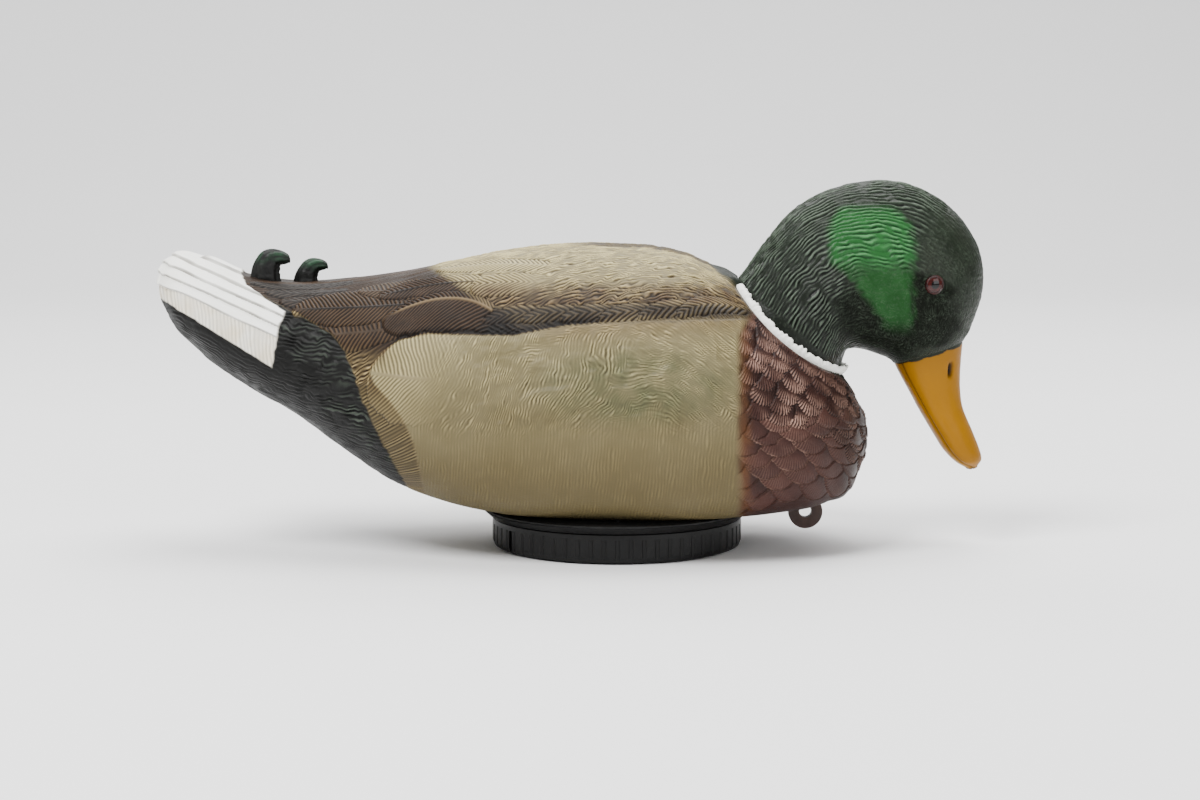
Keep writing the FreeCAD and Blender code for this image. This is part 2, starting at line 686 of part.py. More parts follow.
cover_top = "cover_bottom + plate_thickness"
posts = []
for i, (x, y) in enumerate((("1", "0"), ("-1", "0"), ("0", "1"), ("0", "-1"))):
    height, foot = f"{plate_top} - ( {cover_top} ) - 0.2", f"{cover_top} + 0.2"
    post_x, post_y = f"post_circle * {x}", f"post_circle * {y}"
    posts.append(cylinder(f"post_{i}", "post_radius", height, foot, post_x, post_y))
webs = [
    box("web_x", "post_circle * 2", "1.6", "46", "0", "0", "20"),
    box("web_y", "1.6", "post_circle * 2", "46", "0", "0", "20"),
]
carrier_plate = cylinder("carrier_disc", "tub_radius - tub_wall - 0.5", "plate_thickness", "carrier_plate")
sleeve = cylinder("sleeve", "sleeve_radius", "motor_top + 2.2 - 28", "28")
carrier_solid = fuse("carrier_solid", carrier_plate, sleeve, *posts, *webs)
carrier_holes = fuse(
    "carrier_holes",
    cylinder("motor_bay", "sleeve_bore", "motor_top + 0.2", "0"),
    cylinder("shaft_way", "bush_radius + 0.8", "80", "0"),
    cylinder("weight_way", "sleeve_radius + 0.2", "20", "motor_top + 2.2"),
    cylinder("post_bore_0", "small_screw + screw_play", "80", "0", "post_circle"),
    cylinder("post_bore_1", "small_screw + screw_play", "80", "0", "0 - post_circle"),
    cylinder("post_bore_2", "small_screw + screw_play", "26", "0", "0", "post_circle"),
    cylinder("post_bore_3", "small_screw + screw_play", "26", "0", "0", "0 - post_circle"),
    cylinder("screw_way_0", "1.06", "8", "motor_top - 1", "8"),
    cylinder("screw_way_1", "1.06", "8", "motor_top - 1", "-8"),
)
node(cut("carrier", carrier_solid, carrier_holes), "battery_carrier")

carrier_screws, cover_screws = [], []
for i, sign in enumerate(("1", "-1")):
    place, foot = f"post_circle * {sign}", f"{cover_top} + 0.2"
    long_screw = screw(f"carrier_screw_{i}", "small_screw", "59", "2.8", "2", place, "0", foot)
    short_screw = screw(f"cover_screw_{i}", "small_screw", "9", "2.8", "1.8", "0", place, "cover_bottom")
    carrier_screws.append(long_screw)
    cover_screws.append(short_screw)
node(group("carrier_screw_set", *carrier_screws), "carrier_screws")
node(group("cover_screw_set", *cover_screws), "cover_screws")

cover_disc = cylinder("cover_disc", "tub_radius - tub_wall - 0.3", "plate_thickness", "cover_bottom")
cover_holes = fuse(
    "cover_holes",
    box("slider_slot", "8.6", "3.2", "6", "0", "0", "12"),
    cylinder("cover_hole_0", "3.2", "6", "12", "post_circle"),
    cylinder("cover_hole_1", "3.2", "6", "12", "0 - post_circle"),
    cylinder("cover_hole_2", "small_screw + screw_play", "6", "12", "0", "post_circle"),
    cylinder("cover_hole_3", "small_screw + screw_play", "6", "12", "0", "0 - post_circle"),
)
node(cut("cover", cover_disc, cover_holes), "battery_cover")

# Cells one and three stand button up, two and four button down.
CORNERS = [("1", "1", True), ("-1", "1", False), ("-1", "-1", True), ("1", "-1", False)]
low_contact = f"{cover_top} + contact_thickness"
high_contact = "carrier_plate - contact_thickness"
cells, springs = [], []
for i, (sx, sy, upright) in enumerate(CORNERS):
    x, y = f"cell_offset * {sx}", f"cell_offset * {sy}"
    if upright:
        button_bottom = f"{high_contact} - 0.1 - cell_button"
        body_bottom = f"{button_bottom} - cell_length"
    else:
        button_bottom = f"{low_contact} + 0.1"
        body_bottom = f"{button_bottom} + cell_button"
    can = cylinder(f"cell_can_{i}", "cell_radius", "cell_length", body_bottom, x, y)
    button = cylinder(f"cell_button_{i}", "3.7", "cell_button", button_bottom, x, y)
    cells.append(fuse(f"cell_{i}", can, button))
    spring_bottom = low_contact if upright else f"{body_bottom} + cell_length"
    spring_top = body_bottom if upright else high_contact
    gap = value(f"{spring_top} - ( {spring_bottom} )")
    rise = gap - 2 * SPRING_WIRE - 0.1
    coil = doc.addObject("Part::Helix", f"spring_path_{i}")
    coil.Pitch = rise / SPRING_TURNS
    coil.Height = rise
    coil.Radius = SPRING_RADIUS
    middle = f"{spring_bottom} + {SPRING_WIRE + 0.05}"
    at(coil, x, y, middle)
    section = doc.addObject("Part::Polygon", f"spring_section_{i}")
    corners = [math.radians(angle) for angle in around(6)]
    section.Nodes = [
        Vector(
            value(x) + SPRING_RADIUS + SPRING_WIRE * math.cos(corner),
            value(y),
            value(middle) + SPRING_WIRE * math.sin(corner),
        )
        for corner in corners
    ]
    section.Close = True
    spring = doc.addObject("Part::Sweep", f"spring_{i}")
    spring.Sections = [section]
    spring.Spine = (coil, ["Edge1"])
    spring.Solid = True
    spring.Frenet = True
    springs.append(spring)
node(group("cell_set", *cells), "battery_cells")
node(group("spring_set", *springs), "cell_springs")

strip = "cell_offset * 2 + 10"
node(
    group(
        "upper_strips",
        box("upper_strip_0", strip, "9", "contact_thickness", "0", "cell_offset", high_contact),
        box("upper_strip_1", strip, "9", "contact_thickness", "0", "0 - cell_offset", high_contact),
    ),
    "upper_contacts",
)
tab_place = "cell_offset - 4.7"
node(
    group(
        "lower_strips",
        box("lower_strip", "9", strip, "contact_thickness", "0 - cell_offset", "0", cover_top),
        box("lower_tab_0", "21", "13", "contact_thickness", tab_place, tab_place, cover_top),
        box("lower_tab_1", "21", "13", "contact_thickness", tab_place, f"0 - ( {tab_place} )", cover_top),
    ),
    "lower_contacts",
)

# --- motor with its off-centre weight ---------------------------------------------------------

can_shell = turned(
    "can_shell",
    [
        ("motor_radius - can_wall", "motor_bottom"),
        ("motor_radius", "motor_bottom"),
        ("motor_radius", "motor_top"),
        ("bush_radius + 0.05", "motor_top"),
        ("bush_radius + 0.05", "motor_top - 1"),
        ("motor_radius - can_wall", "motor_top - 1"),
    ],
)
can_holes = fuse(
    "can_holes",
    cylinder("can_hole_0", "1.04", "6", "motor_top - 3", "8"),
    cylinder("can_hole_1", "1.04", "6", "motor_top - 3", "-8"),
)
node(cut("can", can_shell, can_holes), "motor_can")
end_bell = turned(
    "end_bell",
    [
        ("0", "motor_bottom - 4"),
        ("motor_radius", "motor_bottom - 4"),
        ("motor_radius", "motor_bottom"),
        ("motor_radius - can_wall - 0.05", "motor_bottom"),
        ("motor_radius - can_wall - 0.05", "motor_bottom + 2"),
        ("bush_radius + 0.05", "motor_bottom + 2"),
        ("bush_radius + 0.05", "motor_bottom - 3"),
        ("0", "motor_bottom - 3"),
    ],
)
node(end_bell, "motor_end_bell")


def bush(name, bottom, height):
    return cut(
        name,
        cylinder(name + "_outside", "bush_radius", height, bottom),
        cylinder(name + "_bore", "shaft_radius + running_play", f"{height} + 2", f"{bottom} - 1"),
    )


front_bush = bush("front_bush", "motor_top - 1", "2.8")
rear_bush = bush("rear_bush", "motor_bottom - 2.5", "3.5")
node(group("bush_set", front_bush, rear_bush), "motor_bushes")
magnets = []
for i, start in enumerate((20, 200)):
    thick = cylinder(f"magnet_outside_{i}", "motor_radius - can_wall - 0.1", "19", "motor_bottom + 4")
    thick.Angle = 140
    thick.Placement.Rotation = Rotation(Vector(0, 0, 1), start)
    inside = cylinder(f"magnet_inside_{i}", "9.8", "25", "motor_bottom + 2")
    magnets.append(cut(f"magnet_{i}", thick, inside))
node(group("magnet_set", *magnets), "motor_magnets")
node(
    group(
        "brush_set",
        box("brush_0", "3", "2.4", "3", "4.6", "0", "motor_bottom + 2"),
        box("brush_1", "3", "2.4", "3", "-4.6", "0", "motor_bottom + 2"),
    ),
    "motor_brushes",
)
node(
    group(
        "terminal_set",
        box("terminal_0", "0.6", "2.6", "5", "7", "0", "motor_bottom - 9"),
        box("terminal_1", "0.6", "2.6", "5", "-7", "0", "motor_bottom - 9"),
    ),
    "motor_terminals",
)
motor_screws = []
for i, x in enumerate(("8", "-8")):
    shank = cylinder(f"motor_shank_{i}", "1", "4.2", "motor_top - 2", x)
    cap = cylinder(f"motor_screw_head_{i}", "1.9", "1.2", "motor_top + 2.2", x)
    motor_screws.append(fuse(f"motor_screw_{i}", shank, cap))
node(group("motor_screw_set", *motor_screws), "motor_screws")

node(cylinder("shaft", "shaft_radius", "75 - motor_bottom + 2.4", "motor_bottom - 2.4"), "motor_shaft")
core = cylinder("core", "9.3", "16", "motor_bottom + 6")
core_bore = cylinder("core_bore", "shaft_radius", "20", "motor_bottom + 4")
slots = []
for i, angle in enumerate(around(3, 60)):
    slot = box(f"core_slot_{i}", "7", "1.6", "20", "8.5", "0", "motor_bottom + 4")
    holder = group(f"core_slot_turned_{i}", slot)
    holder.Placement.Rotation = Rotation(Vector(0, 0, 1), angle)
    slots.append(holder)
node(cut("armature", core, fuse("core_tools", core_bore, *slots)), "motor_armature")
node(
    cut(
        "commutator_ring",
        cylinder("commutator_outside", "3", "3", "motor_bottom + 2.3"),
        cylinder("commutator_bore", "shaft_radius", "5", "motor_bottom + 1"),
    ),
    "motor_commutator",
)
weight_half = cylinder("weight_half", "11.2", "9", "motor_top + 4.2")
weight_half.Angle = 180
weight_hub = cylinder("weight_hub", "3.4", "9", "motor_top + 4.2")
weight_bore = cylinder("weight_bore", "shaft_radius", "12", "motor_top + 3")
grub_hole = bind(doc.addObject("Part::Cylinder", "grub_hole"), Radius="1.05", Height="6")
grub_screw = bind(doc.addObject("Part::Cylinder", "grub_screw"), Radius="1", Height="2.8")
for tool, start in ((grub_hole, "0"), (grub_screw, "0 - shaft_radius - 0.05")):
    tool.Placement.Rotation = Rotation(Vector(1, 0, 0), 90)
    bind(tool, Placement__Base__y=start, Placement__Base__z="motor_top + 8.7")
weight_tools = fuse("weight_tools", weight_bore, grub_hole)
node(cut("weight", fuse("weight_solid", weight_half, weight_hub), weight_tools), "eccentric_weight")
node(grub_screw, "weight_set_screw")

# --- switch and leads -------------------------------------------------------------------------

switch_box = box("switch_box", "13", "7", "5.5", "0", "0", cover_top)
switch_cavity = box("switch_cavity", "8.6", "3.2", "1.8", "0", "0", f"{cover_top} - 0.1")
node(cut("switch_case", switch_box, switch_cavity), "switch_body")
node(box("slider", "3", "2.6", "4.6", "-2.2", "0", f"{cover_top} - 3.2"), "switch_slider")


def lead_shape(points, radius, bend):
    """A round lead along straight runs joined by arcs."""
    corners = [Vector(*point) for point in points]
    edges, start = [], corners[0]
    for before, corner, after in zip(corners, corners[1:], corners[2:]):
        inward, outward = (before - corner).normalize(), (after - corner).normalize()
        turn = inward.getAngle(outward)
        reach = bend / math.tan(turn / 2)
        first, last = corner + inward * reach, corner + outward * reach
        middle = corner + (inward + outward).normalize() * (bend / math.sin(turn / 2) - bend)
        edges.append(Part.LineSegment(start, first).toShape())
        edges.append(Part.Arc(first, middle, last).toShape())
        start = last
    edges.append(Part.LineSegment(start, corners[-1]).toShape())
    path = Part.Wire(edges)
    section = Part.Wire(Part.makeCircle(radius, corners[0], corners[1] - corners[0]))
    return path.makePipeShell([section], True, True)


lead_top, strip_top = value("motor_bottom - 9"), value(low_contact)
switch_top = value(f"{cover_top} + 5.5")
tab_x, tab_y = value(tab_place) - 6, value(tab_place) - 5.3
red_path = [(7, 0, lead_top), (7, 0, 23.3), (tab_x, -tab_y, 23.3), (tab_x, -tab_y, strip_top)]
black_path = [(4, 0, switch_top), (4, 0, 24.4), (tab_x, tab_y, 24.4), (tab_x, tab_y, strip_top)]
switch_path = [(-7, 0, lead_top), (-7, 0, 23.6), (-4, 0, 23.6), (-4, 0, switch_top)]
node(made("red_lead", lead_shape(red_path, 0.6, 1.3)), "lead_positive")
node(made("black_lead", lead_shape(black_path, 0.6, 1.0)), "lead_negative")
node(made("switch_lead", lead_shape(switch_path, 0.5, 0.6)), "lead_switch")

# --- check and write --------------------------------------------------------------------------

doc.recompute()
for thing in doc.Objects:
    if {"Invalid", "Error"} & set(thing.State):
        raise RuntimeError(f"{thing.Name} ({thing.Label}) failed: {thing.State}")
os.makedirs("parts", exist_ok=True)
for thing in nodes:
    shape = thing.Shape
    if shape.isNull() or not shape.isValid() or not shape.Solids:
        raise RuntimeError(f"{thing.Label} has no valid solid")
    shape.exportStep(f"parts/{thing.Label}.step")
    print(f"{thing.Label:18s} {len(shape.Solids)} solid(s) {shape.Volume / 1000:9.2f} cm3")
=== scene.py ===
import math
from types import SimpleNamespace

import bpy
import numpy as np
from mathutils import Matrix, Vector


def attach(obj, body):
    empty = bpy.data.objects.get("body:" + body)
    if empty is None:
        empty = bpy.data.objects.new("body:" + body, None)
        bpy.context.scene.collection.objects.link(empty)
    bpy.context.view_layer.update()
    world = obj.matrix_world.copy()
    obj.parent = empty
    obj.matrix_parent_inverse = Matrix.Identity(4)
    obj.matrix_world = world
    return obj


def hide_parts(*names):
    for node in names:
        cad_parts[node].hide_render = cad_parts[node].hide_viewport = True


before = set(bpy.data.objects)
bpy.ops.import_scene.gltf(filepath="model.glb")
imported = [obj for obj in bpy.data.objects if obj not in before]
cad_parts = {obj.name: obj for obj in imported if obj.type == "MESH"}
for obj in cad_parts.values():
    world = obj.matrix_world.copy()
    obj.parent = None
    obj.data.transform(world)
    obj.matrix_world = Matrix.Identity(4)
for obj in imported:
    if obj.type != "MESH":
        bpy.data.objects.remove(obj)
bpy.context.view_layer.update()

MM = 0.001
FINE = 1.0

# Body sections: x, half width, height of the widest point, top, bottom, upper and lower roundness.
BODY = np.array([
    (-219.0, 14, 127, 137, 120, 2.0, 2.0),
    (-214.0, 26, 123, 141, 110, 2.0, 2.0),
    (-200.0, 36, 113, 140, 94, 2.2, 1.9),
    (-178.0, 41, 102, 131.5, 78, 2.2, 1.9),
    (-154.0, 46, 95, 128, 64, 2.2, 2.0),
    (-129.0, 54, 88, 129.5, 46, 2.2, 2.1),
    (-105.0, 63, 82, 132.5, 31, 2.2, 2.3),
    (-81.0, 70, 78, 137, 23, 2.3, 2.7),
    (-57.0, 75, 76, 142, 18.5, 2.3, 3.0),
    (-8.0, 80, 74, 146, 15.5, 2.3, 3.2),
    (40.0, 77, 70, 138.5, 15.5, 2.3, 3.2),
    (57.0, 73, 68, 129, 16.5, 2.2, 3.1),
    (75.0, 67, 66, 114.3, 18, 2.2, 3.0),
    (100.0, 53, 62, 93, 22, 2.1, 2.6),
    (113.0, 38, 59, 77, 28.5, 2.0, 2.2),
    (120.0, 18, 56, 64, 44, 2.0, 2.0),
])
# Head and bill sections: outer point, inner point, half width, widest fraction from the inner point.
HEAD = np.array([
    (57.8, 128.6, 108.0, 86.4, 32.8, 0.5),
    (62.5, 134.0, 109.4, 92.0, 32.4, 0.5),
    (72.0, 147.5, 111.2, 95.3, 31.0, 0.5),
    (87.5, 164.5, 114.5, 96.0, 29.5, 0.5),
    (111.5, 175.0, 120.0, 95.0, 29.0, 0.48),
    (136.5, 175.5, 125.5, 93.2, 28.5, 0.46),
    (159.0, 165.0, 129.5, 91.7, 27.5, 0.45),
    (173.5, 146.0, 132.0, 90.4, 25.5, 0.44),
    (176.5, 126.0, 133.2, 89.4, 22.0, 0.44),
    (171.5, 107.5, 133.7, 88.9, 18.0, 0.45),
    (167.6, 99.8, 133.9, 88.9, 15.4, 0.46),
])
BILL = np.array([
    (167.2, 99.6, 134.0, 88.9, 14.2, 0.42),
    (166.3, 86.0, 136.8, 83.5, 12.2, 0.40),
    (166.4, 75.0, 141.5, 75.0, 11.6, 0.38),
    (168.0, 66.0, 147.0, 65.0, 11.6, 0.38),
    (172.3, 56.0, 153.0, 55.0, 12.2, 0.40),
    (175.8, 47.5, 158.5, 46.5, 12.0, 0.40),
    (177.2, 42.0, 164.0, 41.3, 10.0, 0.42),
    (175.4, 38.6, 169.5, 38.0, 5.0, 0.5),
])
# The neck's joint: its centre, axis and forward direction.
NECK = np.array([82.9, 0.0, 107.5])
LEAN = math.radians(40.0)
NECK_AXIS = np.array([math.sin(LEAN), 0.0, math.cos(LEAN)])
NECK_FORWARD = np.array([math.cos(LEAN), 0.0, -math.sin(LEAN)])
LEFT = np.array([0.0, 1.0, 0.0])

# The socket's opening and wall, and the white ring, which dips at both sides.
SOCKET_OPENING, SOCKET_WALL, SOCKET_DEPTH = 35.2, 33.45, 12.3
RING_RADIUS, RING_DIP = 36.0, 7.0
# The body's floor: the seat of the housing's flange and the opening inside it.
SEAT_RADIUS, SEAT_HEIGHT, FLOOR_OPENING = 64.8, 18.63, 46.5
EYE = np.array([150.2, 24.9, 128.5])

# The camera: its distance, height angle, the point it looks at and the width it takes in there.
VIEW_DISTANCE = 1400.0
VIEW_RISE = math.radians(7.0)
VIEW_TARGET = np.array([-8.2, 0.0, 70.4])
VIEW_WIDTH = 582.0
SENSOR_WIDTH = 36.0


# --- number fields ---


def spline(t, knots, values):
    """A smooth curve through the values at the knots."""
    knots = np.asarray(knots, float)
    steps = np.diff(knots)
    slopes = np.diff(values, axis=0) / steps[:, None]
    tangent = np.zeros_like(values)
    weight = (steps[1:] + steps[:-1])[:, None]
    tangent[1:-1] = (slopes[:-1] * steps[1:, None] + slopes[1:] * steps[:-1, None]) / weight
    tangent[0], tangent[-1] = slopes[0], slopes[-1]
    t = np.clip(t, knots[0], knots[-1])
    i = np.clip(np.searchsorted(knots, t) - 1, 0, len(knots) - 2)
    h = steps[i][..., None]
    u = (t - knots[i])[..., None] / h
    near, far = values[i], values[i + 1]
    return (
        (2 * u**3 - 3 * u**2 + 1) * near
        + (u**3 - 2 * u**2 + u) * h * tangent[i]
        + (3 * u**2 - 2 * u**3) * far
        + (u**3 - u**2) * h * tangent[i + 1]
    )


def hashed(ix, iy, seed):
    """A number from -1 to 1 that depends only on the whole numbers given."""
    n = (ix * 374761393 + iy * 668265263 + seed * 1274126177) & 0xFFFFFFFF
    n = ((n ^ (n >> 13)) * 1103515245) & 0xFFFFFFFF
    n = ((n ^ (n >> 15)) * 668265263) & 0xFFFFFFFF
    return ((n ^ (n >> 16)) & 0xFFFF) / 32767.5 - 1.0


def noise(x, y, seed=0):
    """Smooth noise from -1 to 1 with features about one unit wide."""
    x, y = np.broadcast_arrays(np.asarray(x, float), np.asarray(y, float))
    ix, iy = np.floor(x).astype(np.int64), np.floor(y).astype(np.int64)
    u, v = x - ix, y - iy
    u, v = u * u * (3 - 2 * u), v * v * (3 - 2 * v)
    a, b = hashed(ix, iy, seed), hashed(ix + 1, iy, seed)
    c, d = hashed(ix, iy + 1, seed), hashed(ix + 1, iy + 1, seed)
    return (a + (b - a) * u) * (1 - v) + (c + (d - c) * u) * v


def smooth(value, start, end):
    """0 up to start, 1 from end on and an S-curve between; start may be the larger one."""
    t = np.clip((value - start) / (end - start), 0, 1)
    return t * t * (3 - 2 * t)


def waves(along, across, pitch, length, wander, seed, broad=0.7):
    """Short wavy ridges that run along `along`: -1 in the narrow grooves, 1 on the broad crests."""
    shift = wander * noise(along / length, across / (2.2 * pitch), seed)
    shift = shift + 0.35 * wander * noise(along / (0.45 * length), across / (1.2 * pitch), seed + 1)
    crest = (0.5 + 0.5 * np.cos(2 * np.pi * (across / pitch + shift))) ** broad
    vigour = 0.72 + 0.7 * noise(along / (0.7 * length), across / (1.1 * pitch), seed + 2)
    return (2 * crest - 1) * np.clip(vigour, 0.05, 1.2)


def seen(points):
    """Where points are seen from the near side, in millimetres of the plane through the middle."""
    offset = points - VIEW_TARGET
    offset[..., 1] = -np.abs(offset[..., 1])
    depth = VIEW_DISTANCE + offset[..., 1] * math.cos(VIEW_RISE) - offset[..., 2] * math.sin(VIEW_RISE)
    up = offset[..., 1] * math.sin(VIEW_RISE) + offset[..., 2] * math.cos(VIEW_RISE)
    scale = VIEW_DISTANCE / depth
    across = VIEW_TARGET[0] + offset[..., 0] * scale
    return across, VIEW_TARGET[2] + up * scale / math.cos(VIEW_RISE)


def grid_normals(points):
    """Unit normals of a grid of points, row direction crossed with column direction."""
    di = np.gradient(points, axis=0)
    dj = np.gradient(points, axis=1)
    n = np.cross(di, dj)
    return n / np.maximum(np.linalg.norm(n, axis=-1, keepdims=True), 1e-9)


# --- meshes and materials ---


def mesh_object(name, points, faces, masks=None):
    """A mesh from points in millimetres, with one float attribute for each mask."""
    mesh = bpy.data.meshes.new(name)
    points = np.asarray(points, np.float32).reshape(-1, 3) * MM
    mesh.vertices.add(len(points))
    mesh.vertices.foreach_set("co", points.ravel())
    mesh.loops.add(faces.size)
    mesh.loops.foreach_set("vertex_index", faces.astype(np.int32).ravel())
    mesh.polygons.add(len(faces))
    mesh.polygons.foreach_set("loop_start", np.arange(0, faces.size, faces.shape[1], dtype=np.int32))
    mesh.update(calc_edges=True)
    mesh.validate()
    for key, mask in (masks or {}).items():
        layer = mesh.attributes.new(key, "FLOAT", "POINT")
        layer.data.foreach_set("value", np.asarray(mask, np.float32).ravel())
    mesh.shade_smooth()
    thing = bpy.data.objects.new(name, mesh)
    bpy.context.scene.collection.objects.link(thing)
    return thing


def grid_faces(rows, columns, wrap=False):
    """Quads of a grid; wrap joins the last column to the first."""
    i, j = np.meshgrid(np.arange(rows - 1), np.arange(columns if wrap else columns - 1), indexing="ij")
    k = (j + 1) % columns
    quads = np.stack([i * columns + j, (i + 1) * columns + j, (i + 1) * columns + k, i * columns + k], -1)
    return quads.reshape(-1, 4)


def tube_object(name, grid, masks):
    """A mesh from a grid whose columns close on themselves."""
    return mesh_object(name, grid, grid_faces(*grid.shape[:2], wrap=True), masks)


def rgb(red, green, blue):
    """A linear colour from its everyday 0 to 255 values."""
    linear = (((v / 255 + 0.055) / 1.055) ** 2.4 if v > 10 else v / 3294.6 for v in (red, green, blue))
    return tuple(linear) + (1.0,)


# Numbers of the sockets that carry colour on a Mix node.
MIX_A, MIX_B, MIX_RESULT = 6, 7, 2


class Paint:
    """Builds one node material step by step."""

    def __init__(self, name, roughness=0.6, specular=0.4):
        self.material = bpy.data.materials.new(name)
        self.material.use_nodes = True
        self.nodes = self.material.node_tree.nodes
        self.links = self.material.node_tree.links
        self.surface = self.nodes["Principled BSDF"]
        self.surface.inputs["Roughness"].default_value = roughness
        self.surface.inputs["Specular IOR Level"].default_value = specular
        self.place = self.nodes.new("ShaderNodeTexCoord").outputs["Object"]

    def mask(self, key):
        node = self.nodes.new("ShaderNodeAttribute")
        node.attribute_name = key
        return node.outputs["Fac"]

    def math(self, kind, a, b=0.0, clamp=False):
        node = self.nodes.new("ShaderNodeMath")
        node.operation = kind
        node.use_clamp = clamp
        for socket, item in zip(node.inputs, (a, b)):
            self.feed(socket, item)
        return node.outputs[0]

    def feed(self, socket, item):
        """A socket takes another socket's value, a number, or a colour in 0 to 255 values."""
        if isinstance(item, bpy.types.NodeSocket):
            self.links.new(item, socket)
        elif isinstance(item, tuple) and len(item) == 3:
            socket.default_value = rgb(*item)
        else:
            socket.default_value = item

    def noise(self, scale, detail=3.0, low=0.3, high=0.7, stretch=None):
        """Noise with features of 1/scale metres, remapped to 0 to 1."""
        place = self.place
        if stretch:
            mapping = self.nodes.new("ShaderNodeMapping")
            mapping.inputs["Scale"].default_value = stretch
            self.links.new(self.place, mapping.inputs["Vector"])
            place = mapping.outputs["Vector"]
        node = self.nodes.new("ShaderNodeTexNoise")
        node.inputs["Scale"].default_value = scale
        node.inputs["Detail"].default_value = detail
        self.links.new(place, node.inputs["Vector"])
        ramp = self.nodes.new("ShaderNodeMapRange")
        ramp.inputs["From Min"].default_value = low
        ramp.inputs["From Max"].default_value = high
        self.links.new(node.outputs["Fac"], ramp.inputs["Value"])
        return ramp.outputs["Result"]

    def mix(self, amount, a, b, kind="MIX"):
        node = self.nodes.new("ShaderNodeMix")
        node.data_type = "RGBA"
        node.blend_type = kind
        self.feed(node.inputs["Factor"], amount)
        self.feed(node.inputs[MIX_A], a)
        self.feed(node.inputs[MIX_B], b)
        return node.outputs[MIX_RESULT]

    def wash(self, key, strength, colour, over):
        """The colour with another laid over it where the mask is, at this strength."""
        return self.mix(self.math("MULTIPLY", self.mask(key), strength), colour, over)

    def washes(self, colour, *rows):
        """Washes in turn, each row with its mask, strength and colour."""
        for key, strength, over in rows:
            colour = self.wash(key, strength, colour, over)
        return colour

    def blend(self, amount, a, b):
        """A number between a and b."""
        node = self.nodes.new("ShaderNodeMapRange")
        self.feed(node.inputs["Value"], amount)
        self.feed(node.inputs["To Min"], a)
        self.feed(node.inputs["To Max"], b)
        return node.outputs["Result"]

    def bump(self, height, distance, strength=1.0):
        node = self.nodes.new("ShaderNodeBump")
        node.inputs["Strength"].default_value = strength
        node.inputs["Distance"].default_value = distance
        self.feed(node.inputs["Height"], height)
        if self.surface.inputs["Normal"].is_linked:
            self.links.new(self.surface.inputs["Normal"].links[0].from_socket, node.inputs["Normal"])
        self.links.new(node.outputs["Normal"], self.surface.inputs["Normal"])

    def finish(self, colour, roughness=None):
        self.feed(self.surface.inputs["Base Color"], colour)
        if roughness is not None:
            self.feed(self.surface.inputs["Roughness"], roughness)
        return self.material


# --- the body ---

COLUMNS = int(880 * FINE)
ROWS = int(420 * FINE)
DOME = 10
TAIL_END, BREAST_END = -217.6, 118.6


def body_columns():
    """x on the section curve, true x, and how far each column is drawn in, rounding both ends."""
    turn = np.linspace(0, 0.5 * np.pi * 0.97, DOME + 1)[1:]
    middle = np.linspace(TAIL_END, BREAST_END, COLUMNS)
    tail_x, breast_x = TAIL_END - 2.4 * np.sin(turn), BREAST_END + 2.0 * np.sin(turn)
    source = np.concatenate([np.full(DOME, TAIL_END), middle, np.full(DOME, BREAST_END)])
    true = np.concatenate([tail_x[::-1], middle, breast_x])
    scale = np.concatenate([np.cos(turn)[::-1], np.ones(COLUMNS), np.cos(turn)])
    return source, true, scale


def body_half():
    """The near half of the smooth body as a grid, with each point's distance from the back ridge."""
    source, true, scale = body_columns()
    p = spline(source, BODY[:, 0], BODY[:, 1:])
    theta = np.linspace(0.5 * np.pi, -0.5 * np.pi, 1201)
    c, s = np.abs(np.cos(theta)), np.sin(theta)
    grid = np.zeros((len(source), ROWS, 3))
    girth = np.zeros((len(source), ROWS))
    spread = np.linspace(0, 1, ROWS)
    for i in range(len(source)):
        width, widest, top, bottom, upper, lower = p[i]
        power = np.where(s >= 0, 2 / upper, 2 / lower)
        reach = np.where(s >= 0, top - widest, widest - bottom)
        y = -width * c**power
        z = widest + reach * np.sign(s) * np.abs(s) ** power
        middle = 0.5 * (top + bottom)
        y, z = y * scale[i], middle + (z - middle) * scale[i]
        walk = np.concatenate([[0], np.cumsum(np.hypot(np.diff(y), np.diff(z)))])
        place = spread * walk[-1]
        grid[i, :, 0] = true[i]
        grid[i, :, 1] = np.interp(place, walk, y)
        grid[i, :, 2] = np.interp(place, walk, z)
        girth[i] = place
    grid[:, 0, 1] = 0
    grid[:, -1, 1] = 0
    return grid, girth


